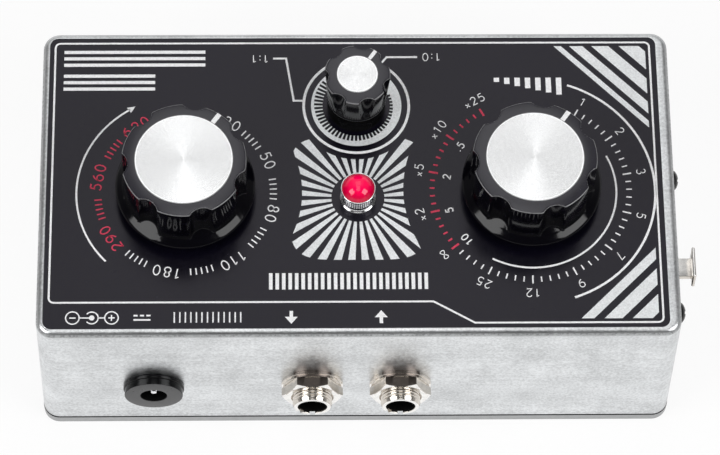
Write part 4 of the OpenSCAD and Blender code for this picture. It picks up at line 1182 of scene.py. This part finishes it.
class PEDAL_OT_lamp(Operator):
    """Chrome lamp holder with its red dome"""

    bl_idname = "pedal.lamp"
    bl_label = "Lamp"
    bl_options = UNDOABLE

    def execute(self, context):
        place = Matrix.Translation((*LAMP, PANEL_Z))
        low, high = ((z - PANEL_Z) / MM for z in heights("lamp_bezel"))
        lens_low, lens_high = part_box("lamp_lens")
        rim = (lens_high.x - lens_low.x) / 2 / MM
        bore, thread, flange, stem, groove = 2.95, 3.8, 4.15, 3.6, 3.46
        holder = [(bore, low), (thread, low), (thread, 0), (flange, 0)] + arc((4.03, 0.25), 0.25, -60, 90)
        holder += [(3.85, 0.62), (3.68, 0.9), (stem, 1.4)]
        for z in (1.5, 2.25, 3.0):
            holder += [(stem, z), (groove, z + 0.12), (groove, z + 0.22), (stem, z + 0.34)]
        lip = 0.17
        holder += [(3.62, high - 1.5), (rim + 0.14, high - 1.1)]
        holder += arc((rim + lip, high - lip), lip, 0, 180, 8)
        holder += [(rim - 0.02, high - 0.5), (bore, high - 0.55)]
        Shape().add(lathe(holder, loop=True), place).piece(
            "lamp_holder", ["chrome"], "housing", "chrome", ["lamp_bezel"], 50)
        tall = (lens_high.z - PANEL_Z) / MM - high
        ball = (rim * rim + tall * tall) / (2 * tall)
        sweep = math.degrees(math.asin(min(1.0, rim / ball)))
        dome = [(0, high - 1.2), (2.9, high - 1.2), (2.93, high - 0.5), (rim - 0.05, high - 0.45)]
        dome += arc((0, high + tall - ball), ball, 90 - sweep, 90, 20)
        Shape().add(lathe(dome), place).piece(
            "lamp_dome", ["red_lens"], "housing", "red_lens", ["lamp_lens"], 40)
        return {"FINISHED"}


class PEDAL_OT_power(Operator):
    """Black power socket with its centre pin"""

    bl_idname = "pedal.power"
    bl_label = "Power socket"
    bl_options = UNDOABLE

    def execute(self, context):
        front = 2.5
        place = wall_frame("power_socket", front * MM)
        pin_hole, well, neck, flange, floor, back = 1.08, 2.8, 5.9, 7.1, -7.0, -12.0
        body = [(pin_hole, floor), (pin_hole, back), (neck, back), (neck, 0.03), (flange, 0.03)]
        body += arc((flange, 0.23), 0.2, -60, 0, 3) + arc((flange, 0.7), 0.2, 0, 70, 3) + [(6.98, 0.95)]
        body += arc((6.8, 2.32), 0.18, 0, 90, 5) + [(3.45, front)] + arc((3.4, 2.2), 0.3, 90, 180, 5)
        body += [(3.05, -1.5), (well, -1.5), (well, floor)]
        shell = Shape().add(lathe(body, loop=True), place).piece(
            "power_socket_shell", ["black_plastic", "gloss_black", "deep_black"], "housing", "black_plastic",
            ["dc_socket_body"], 40)
        inside = place.inverted()

        # Front face black plastic, the rest gloss black; the faces inside the mouth take the darker black as
        # painted shade in the hole
        def front_side_or_shaded_mouth(face):
            spot = inside @ face.center
            ahead = (inside.to_3x3() @ face.normal).z > FACING
            if ahead and spot.z > 2.0 * MM:
                return 0
            return 2 if spot.xy.length < 3.3 * MM else 1

        paint(shell, front_side_or_shaded_mouth)
        radius, pin_back = 1.05, -17.0
        pin = [(0, pin_back), (radius, pin_back), (radius, 1.1), (0.72, 1.5), (0.66, 1.6), (0, 1.6)]
        Shape().add(lathe(pin, 48), place).piece(
            "power_pin", ["chrome"], "housing", "bright_steel", ["dc_socket_pin"])
        return {"FINISHED"}


# What the jacks' pieces share, in millimetres: how far the mounts stand off the wall, and the bore of the
# nuts and washers
JACK_STAND, JACK_BORE = 0.8, 4.77


class PEDAL_OT_jacks(Operator):
    """Threaded jacks with their nuts and washers"""

    bl_idname = "pedal.jacks"
    bl_label = "Jacks"
    bl_options = UNDOABLE

    def execute(self, context):
        for name in ("send", "receive"):
            self.sleeve(name, context.scene.pedal_shape.thread / MM)
        wide, step, front = 7.4, 7.0, 1.28
        washer = [(JACK_BORE, 0.02), (wide, 0.02), (wide, 0.7), (7.32, 0.78), (step, 0.78), (step, front),
                  (JACK_BORE, front)]
        self.pair("jack_rings", lathe(washer, loop=True), ["jack_washers"])
        self.pair("jack_hex_nuts", self.nut(), ["jack_nuts"])
        return {"FINISHED"}

    def pair(self, name, part, nodes):
        """The same piece on both jacks, in nickel with a lit copy painted on the faces in front and a shaded
        copy on the faces on top.
        """
        first, second = (wall_frame(f"{jack}_jack", JACK_STAND * MM) for jack in ("send", "receive"))
        mesh = Shape().add(part, first).mesh(name)
        made = in_rows(mesh, "nickel", 2, second.translation - first.translation)
        piece = settle(name, closed(made, 30), ["nickel", "bright_nickel", "shaded_nickel"],
                       "housing", nodes)
        out = first.to_3x3() @ Vector((0, 0, 1))
        # Painted light on faces that face out, painted shade on faces on top
        paint(piece, lambda face: 1 if face.normal.dot(out) > FACING else 2 if face.normal.z > FACING else 0)

    def nut(self):
        """Hexagon nut with its corners turned off."""
        flat, low, high, ease, steps = 6.35, 1.3, 3.9, 0.35, 96
        verts, faces = [], []
        for k in range(steps):
            degrees = 360 * k / steps
            reach = flat / math.cos(math.radians(degrees % 60 - 30))
            drop = max(0.0, reach - flat * 1.02) * 0.55
            spots = [(JACK_BORE, low), (reach - 0.1, low), (reach, low + 0.1 + drop * 0.6),
                     (reach, high - 0.12 - drop), (min(reach - 0.12, flat), high),
                     (JACK_BORE + ease, high), (JACK_BORE, high - ease)]
            turn = Matrix.Rotation(math.radians(degrees), 3, "Z")
            verts += [turn @ Vector((radius, 0, z)) * MM for radius, z in spots]
        count = len(spots)
        for k in range(steps):
            a, b = k * count, (k + 1) % steps * count
            for j in range(count):
                n = (j + 1) % count
                faces.append((a + j, b + j, b + n, a + n))
        return verts, faces

    def sleeve(self, name, pitch):
        """Threaded sleeve outside the wall; the frame behind it is the solid's own."""
        place = wall_frame(f"{name}_jack", JACK_STAND * MM)
        out = place.to_3x3() @ Vector((0, 0, 1))
        start, bore, root, crest, thread_end, front = 0.5, 3.2, 4.42, 4.75, 6.0, 6.3
        behind = solid_copy(f"{name}_jack_frame")
        build = bmesh.new()
        build.from_mesh(behind)
        bmesh.ops.bisect_plane(build, geom=build.verts[:] + build.edges[:] + build.faces[:], dist=1e-7,
                               plane_co=place.translation + out * start * MM, plane_no=out, clear_outer=True)
        build.to_mesh(behind)
        build.free()
        profile = [(bore, start), (crest, start)]
        z = 0.9
        while z < thread_end - pitch:
            profile += [(crest, z), (crest - 0.02, z + pitch * 0.12), (root, z + pitch * 0.45),
                        (root, z + pitch * 0.58), (crest - 0.02, z + pitch * 0.9)]
            z += pitch
        profile += [(4.6, 5.95), (root, front)] + arc((root - 0.1, front), 0.1, 0, 90, 3)
        profile += arc((3.6, front), 0.1, 90, 180, 3) + [(3.5, 1.2), (bore, 1.2)]
        notches = [math.radians(angle) for angle in (270, 222)]
        sleeve = cut(Shape().add(lathe(profile, loop=True)).mesh("sleeve"),
                     block((3.0, 1.3, 2.0), (4.2, 0, 6.5)), notches)
        lining = [(bore, 1.25), (3.46, 1.25), (3.46, 5.9), (3.4, 6.0), (3.3, 5.9), (bore, 5.2)]
        shape = Shape().add(parts_of(behind)).add(parts_of(sleeve), place)
        # The bore's black liner, in the darker black that paints the shade inside the bore
        shape.add(lathe(lining, 64, True), place, 1)
        piece = shape.piece(f"{name}_jack_sleeve", ["nickel", "deep_black", "bright_nickel"],
                            "housing", "nickel", [f"{name}_jack_frame"], 30)

        # Painted light: the rim's front faces take the lit copy of the nickel
        def lit_rim_or_rest(face):
            ahead = (face.center - place.translation).dot(out) > (front - 0.1) * MM
            return 2 if ahead and face.normal.dot(out) > FACING else face.material_index

        paint(piece, lit_rim_or_rest)


class PEDAL_OT_sockets(Operator):
    """Line sockets with their latch and dome screws"""

    bl_idname = "pedal.sockets"
    bl_label = "Line sockets"
    bl_options = UNDOABLE

    def execute(self, context):
        looks = {"input_shell": "nickel", "output_shell": "nickel", "input_insert": "black_plastic",
                 "output_insert": "black_plastic", "input_contacts": "brass", "output_pins": "brass"}
        for node, look in looks.items():
            smooth_solid(node, look)
        self.latch()
        self.coil(context.scene)
        self.screws()
        return {"FINISHED"}

    def latch(self):
        """Release tab: a plate outside, a stem through the wall and a catch behind it."""
        place = wall_frame("input_socket")
        corners = [place.inverted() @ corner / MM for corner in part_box("input_latch")]
        outer = max(corner.z for corner in corners)
        wide = abs(corners[0].x - corners[1].x)
        thick, stem_wide, inner = 0.8, 4.8, -11.8
        middle_z = outer - thick / 2
        latch = Shape()
        latch.add(block((wide, 6.0, thick), (0, 12.0, middle_z), 0.36, 4), place)
        latch.add(block((stem_wide, 1.6, middle_z - inner), (0, 11.0, (middle_z + inner) / 2), 0.18), place)
        latch.add(block((stem_wide, 1.2, 2.0), (0, 9.85, inner + 1.0), 0.15), place)
        piece = latch.piece("press_latch", ["nickel", "bright_nickel"], "latch", "nickel",
                            ["input_latch"], 40)
        # Painted light: the latch's top faces take the lit copy of the nickel
        paint(piece, lambda face: int(face.normal.z > FACING))

    def coil(self, scene):
        """Spring behind the latch, as a smooth copy of its solid in its slot's finish."""
        mesh = solid_copy("latch_spring")
        mesh.materials.append(finish(SLOTS["latch_spring"]))
        coil = bpy.data.objects.new("latch_coil", mesh)
        scene.collection.objects.link(coil)
        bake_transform(coil)
        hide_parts("latch_spring")

    def screws(self):
        """Four dome screws with crossed slots, two on each socket."""
        shank, end, head, brim, tall, off = 1.3, -7.0, 2.7, 0.3, 2.1, 12.0
        profile = [(0, end), (shank - 0.2, end), (shank, end + 0.2), (shank, 0.02), (2.62, 0.02)]
        profile += arc((2.47, 0.27), 0.25, -60, 10, 3)
        profile += oval(0, brim, head, tall - brim, 10, 80, 7) + [(0, tall)]
        screw = cut(Shape().add(lathe(profile, 48)).mesh("screw"),
                    block((3.0, 0.65, 2.4), (0, 0, 2.3)), (0.4, 0.4 + math.pi / 2))
        first, second = wall_frame("input_socket"), wall_frame("output_socket")
        screw.transform(first @ Matrix.Translation((-off * MM, off * MM, 0)))
        across = first.to_3x3() @ Vector((2 * off * MM, -2 * off * MM, 0))
        made = in_rows(screw, "dark_steel", 2, across, 2, second.translation - first.translation)
        settle("dome_screws", closed(made, 40), ["dark_steel"], "housing", ["socket_screws"])


class PEDAL_OT_inside(Operator):
    """Finishes of the solids that show as they are"""

    bl_idname = "pedal.inside"
    bl_label = "Other solids"
    bl_options = UNDOABLE

    def execute(self, context):
        # Painted shade: the pots' nuts, washers and bushings are steel, drawn near-black because they sit in
        # deep shade under the knobs
        for node in ("pot_nuts", "pot_washers", *(f"{name}_pot_bushing" for name in CONTROLS)):
            smooth_solid(node, "dark_steel")
        for node, solid in frame["nodes"].items():
            solid.data.materials.clear()
            solid.data.materials.append(finish(SLOTS[node]))
        return {"FINISHED"}


class PEDAL_OT_stage(Operator):
    """Floor, light and camera"""

    bl_idname = "pedal.stage"
    bl_label = "Stage"
    bl_options = UNDOABLE

    def execute(self, context):
        scene, look = context.scene, context.scene.pedal_stage
        scene.view_settings.view_transform = "Standard"
        self.floor(scene, look)
        self.world(scene, look)
        self.lamp(scene, "back_softbox", (0, -0.5, 0.93), (0.5, 0.55), look.back)
        self.lamp(scene, "top_softbox", (0, 0.1, 1.1), (0.4, 0.64), look.top)
        self.lamp(scene, "left_softbox", (0.62, 0.32, 0.66), (0.5, 0.5), look.side)
        self.lamp(scene, "right_softbox", (-0.62, 0.32, 0.66), (0.5, 0.5), look.side)
        self.camera(scene, look)
        return {"FINISHED"}

    def floor(self, scene, look):
        """Pale floor just below the pedal: nearly white to the camera, and to mirrors near the middle."""
        half, below = 3.0, -0.1 * MM
        mesh = bpy.data.meshes.new("floor")
        corners = ((-half, -half), (half, -half), (half, half), (-half, half))
        mesh.from_pydata([(x, y, below) for x, y in corners], [], [(0, 1, 2, 3)])
        material, graph = new_material("floor")
        path = graph.node("ShaderNodeLightPath")
        x = graph.axes(graph.place())[0]
        mirrored = graph.part(path, "Is Glossy Ray") * (1.0 - graph.ramp(x * x, 0.001, 0.02) * 0.5)
        seen = path.math("MAXIMUM", mirrored).math("MAXIMUM", graph.part(path, "Is Transmission Ray"))
        matt = graph.node("ShaderNodeBsdfDiffuse", {"Color": (*look.floor_colour, 1)})
        white = graph.node("ShaderNodeEmission", {"Color": (1, 1, 1, 1), "Strength": 1.0})
        both = graph.node("ShaderNodeMixShader", {0: seen * 0.88, 1: matt, 2: white})
        graph.node("ShaderNodeOutputMaterial", {"Surface": both})
        mesh.materials.append(material)
        floor = bpy.data.objects.new("floor", mesh)
        scene.collection.objects.link(floor)

    def world(self, scene, look):
        """White to the camera, an even sky to matt faces, a dim room with a pale rear to mirrors."""
        scene.world = bpy.data.worlds.new("studio")
        scene.world.use_nodes = True
        graph = Graph(scene.world.node_tree)
        path = graph.node("ShaderNodeLightPath")
        seen = path.math("MAXIMUM", graph.part(path, "Is Transmission Ray"))
        mirrored = graph.part(path, "Is Glossy Ray")
        x, y, z = graph.axes(graph.node("ShaderNodeTexCoord", out="Generated"))
        rear = graph.ramp(-y, -0.1, 0.45) * (1.0 - graph.ramp(x * x, 0.1, 0.36) * 0.75)
        room = rear * 0.45 + 0.07
        horizon = (1.0 - graph.ramp(z, 0.12, 0.38)) * (1.0 - graph.ramp(x * x, 0.3, 0.7) * 0.65)
        level = seen.math("MAXIMUM", mirrored * (room + horizon * (1.0 - room)))
        level = level + (1.0 - seen.math("MAXIMUM", mirrored)) * look.sky
        back = graph.node("ShaderNodeBackground", {"Color": (1, 1, 1, 1), "Strength": level})
        graph.node("ShaderNodeOutputWorld", {"Surface": back})

    def lamp(self, scene, name, at, size, level):
        """A rectangular softbox that looks at the pedal."""
        light = bpy.data.lights.new(name, "AREA")
        light.shape, light.size, light.size_y = "RECTANGLE", *size
        light.energy = level * math.pi * size[0] * size[1]
        lamp = bpy.data.objects.new(name, light)
        lamp.location = at
        pedal = Vector((0, 0, 0.05))
        lamp.rotation_euler = (pedal - Vector(at)).to_track_quat("-Z", "Y").to_euler()
        scene.collection.objects.link(lamp)

    def camera(self, scene, look):
        """Camera that looks down at the pedal from behind it."""
        tilt, turn, roll = look.tilt, look.turn, look.roll
        ahead = Vector((-math.sin(turn) * math.cos(tilt), -math.cos(turn) * math.cos(tilt), -math.sin(tilt)))
        right = Vector((-math.cos(turn), math.sin(turn), 0))
        up = right.cross(ahead)
        leaned = math.cos(roll) * right + math.sin(roll) * up
        upright = math.cos(roll) * up - math.sin(roll) * right
        data = bpy.data.cameras.new("camera")
        data.sensor_fit, data.sensor_width, data.lens = "HORIZONTAL", 36.0, look.lens
        data.clip_start, data.clip_end = 0.01, 20
        camera = bpy.data.objects.new("camera", data)
        turned = Matrix((leaned, upright, -ahead)).transposed().to_4x4()
        camera.matrix_world = Matrix.Translation(Vector(look.aim) - ahead * look.distance) @ turned
        scene.collection.objects.link(camera)
        scene.camera = camera


OPERATORS = (PEDAL_OT_stage, PEDAL_OT_box, PEDAL_OT_rules, PEDAL_OT_dials, PEDAL_OT_knobs, PEDAL_OT_lamp,
             PEDAL_OT_power, PEDAL_OT_jacks, PEDAL_OT_sockets, PEDAL_OT_inside)


class PEDAL_PT_panel(Panel):
    """Pieces and settings of the pedal"""

    bl_idname = "PEDAL_PT_panel"
    bl_label = "Delay pedal"
    bl_space_type = "VIEW_3D"
    bl_region_type = "UI"
    bl_category = "Pedal"

    def draw(self, context):
        for each in OPERATORS:
            self.layout.operator(each.bl_idname)
        for group in (context.scene.pedal_stage, context.scene.pedal_finish, context.scene.pedal_shape):
            for key in group.bl_rna.properties.keys():
                if key not in {"rna_type", "name"}:
                    self.layout.prop(group, key)


GROUPS = {"pedal_stage": PedalStage, "pedal_finish": PedalFinish, "pedal_shape": PedalShape}
CLASSES = (*GROUPS.values(), *OPERATORS, PEDAL_PT_panel)


def register():
    for each in CLASSES:
        bpy.utils.register_class(each)
    for key, group in GROUPS.items():
        setattr(bpy.types.Scene, key, PointerProperty(type=group))


def unregister():
    for key in GROUPS:
        delattr(bpy.types.Scene, key)
    for each in reversed(CLASSES):
        bpy.utils.unregister_class(each)


def main():
    register()
    for each in OPERATORS:
        group, name = each.bl_idname.split(".")
        getattr(getattr(bpy.ops, group), name)()


if __name__ == "__main__":
    main()
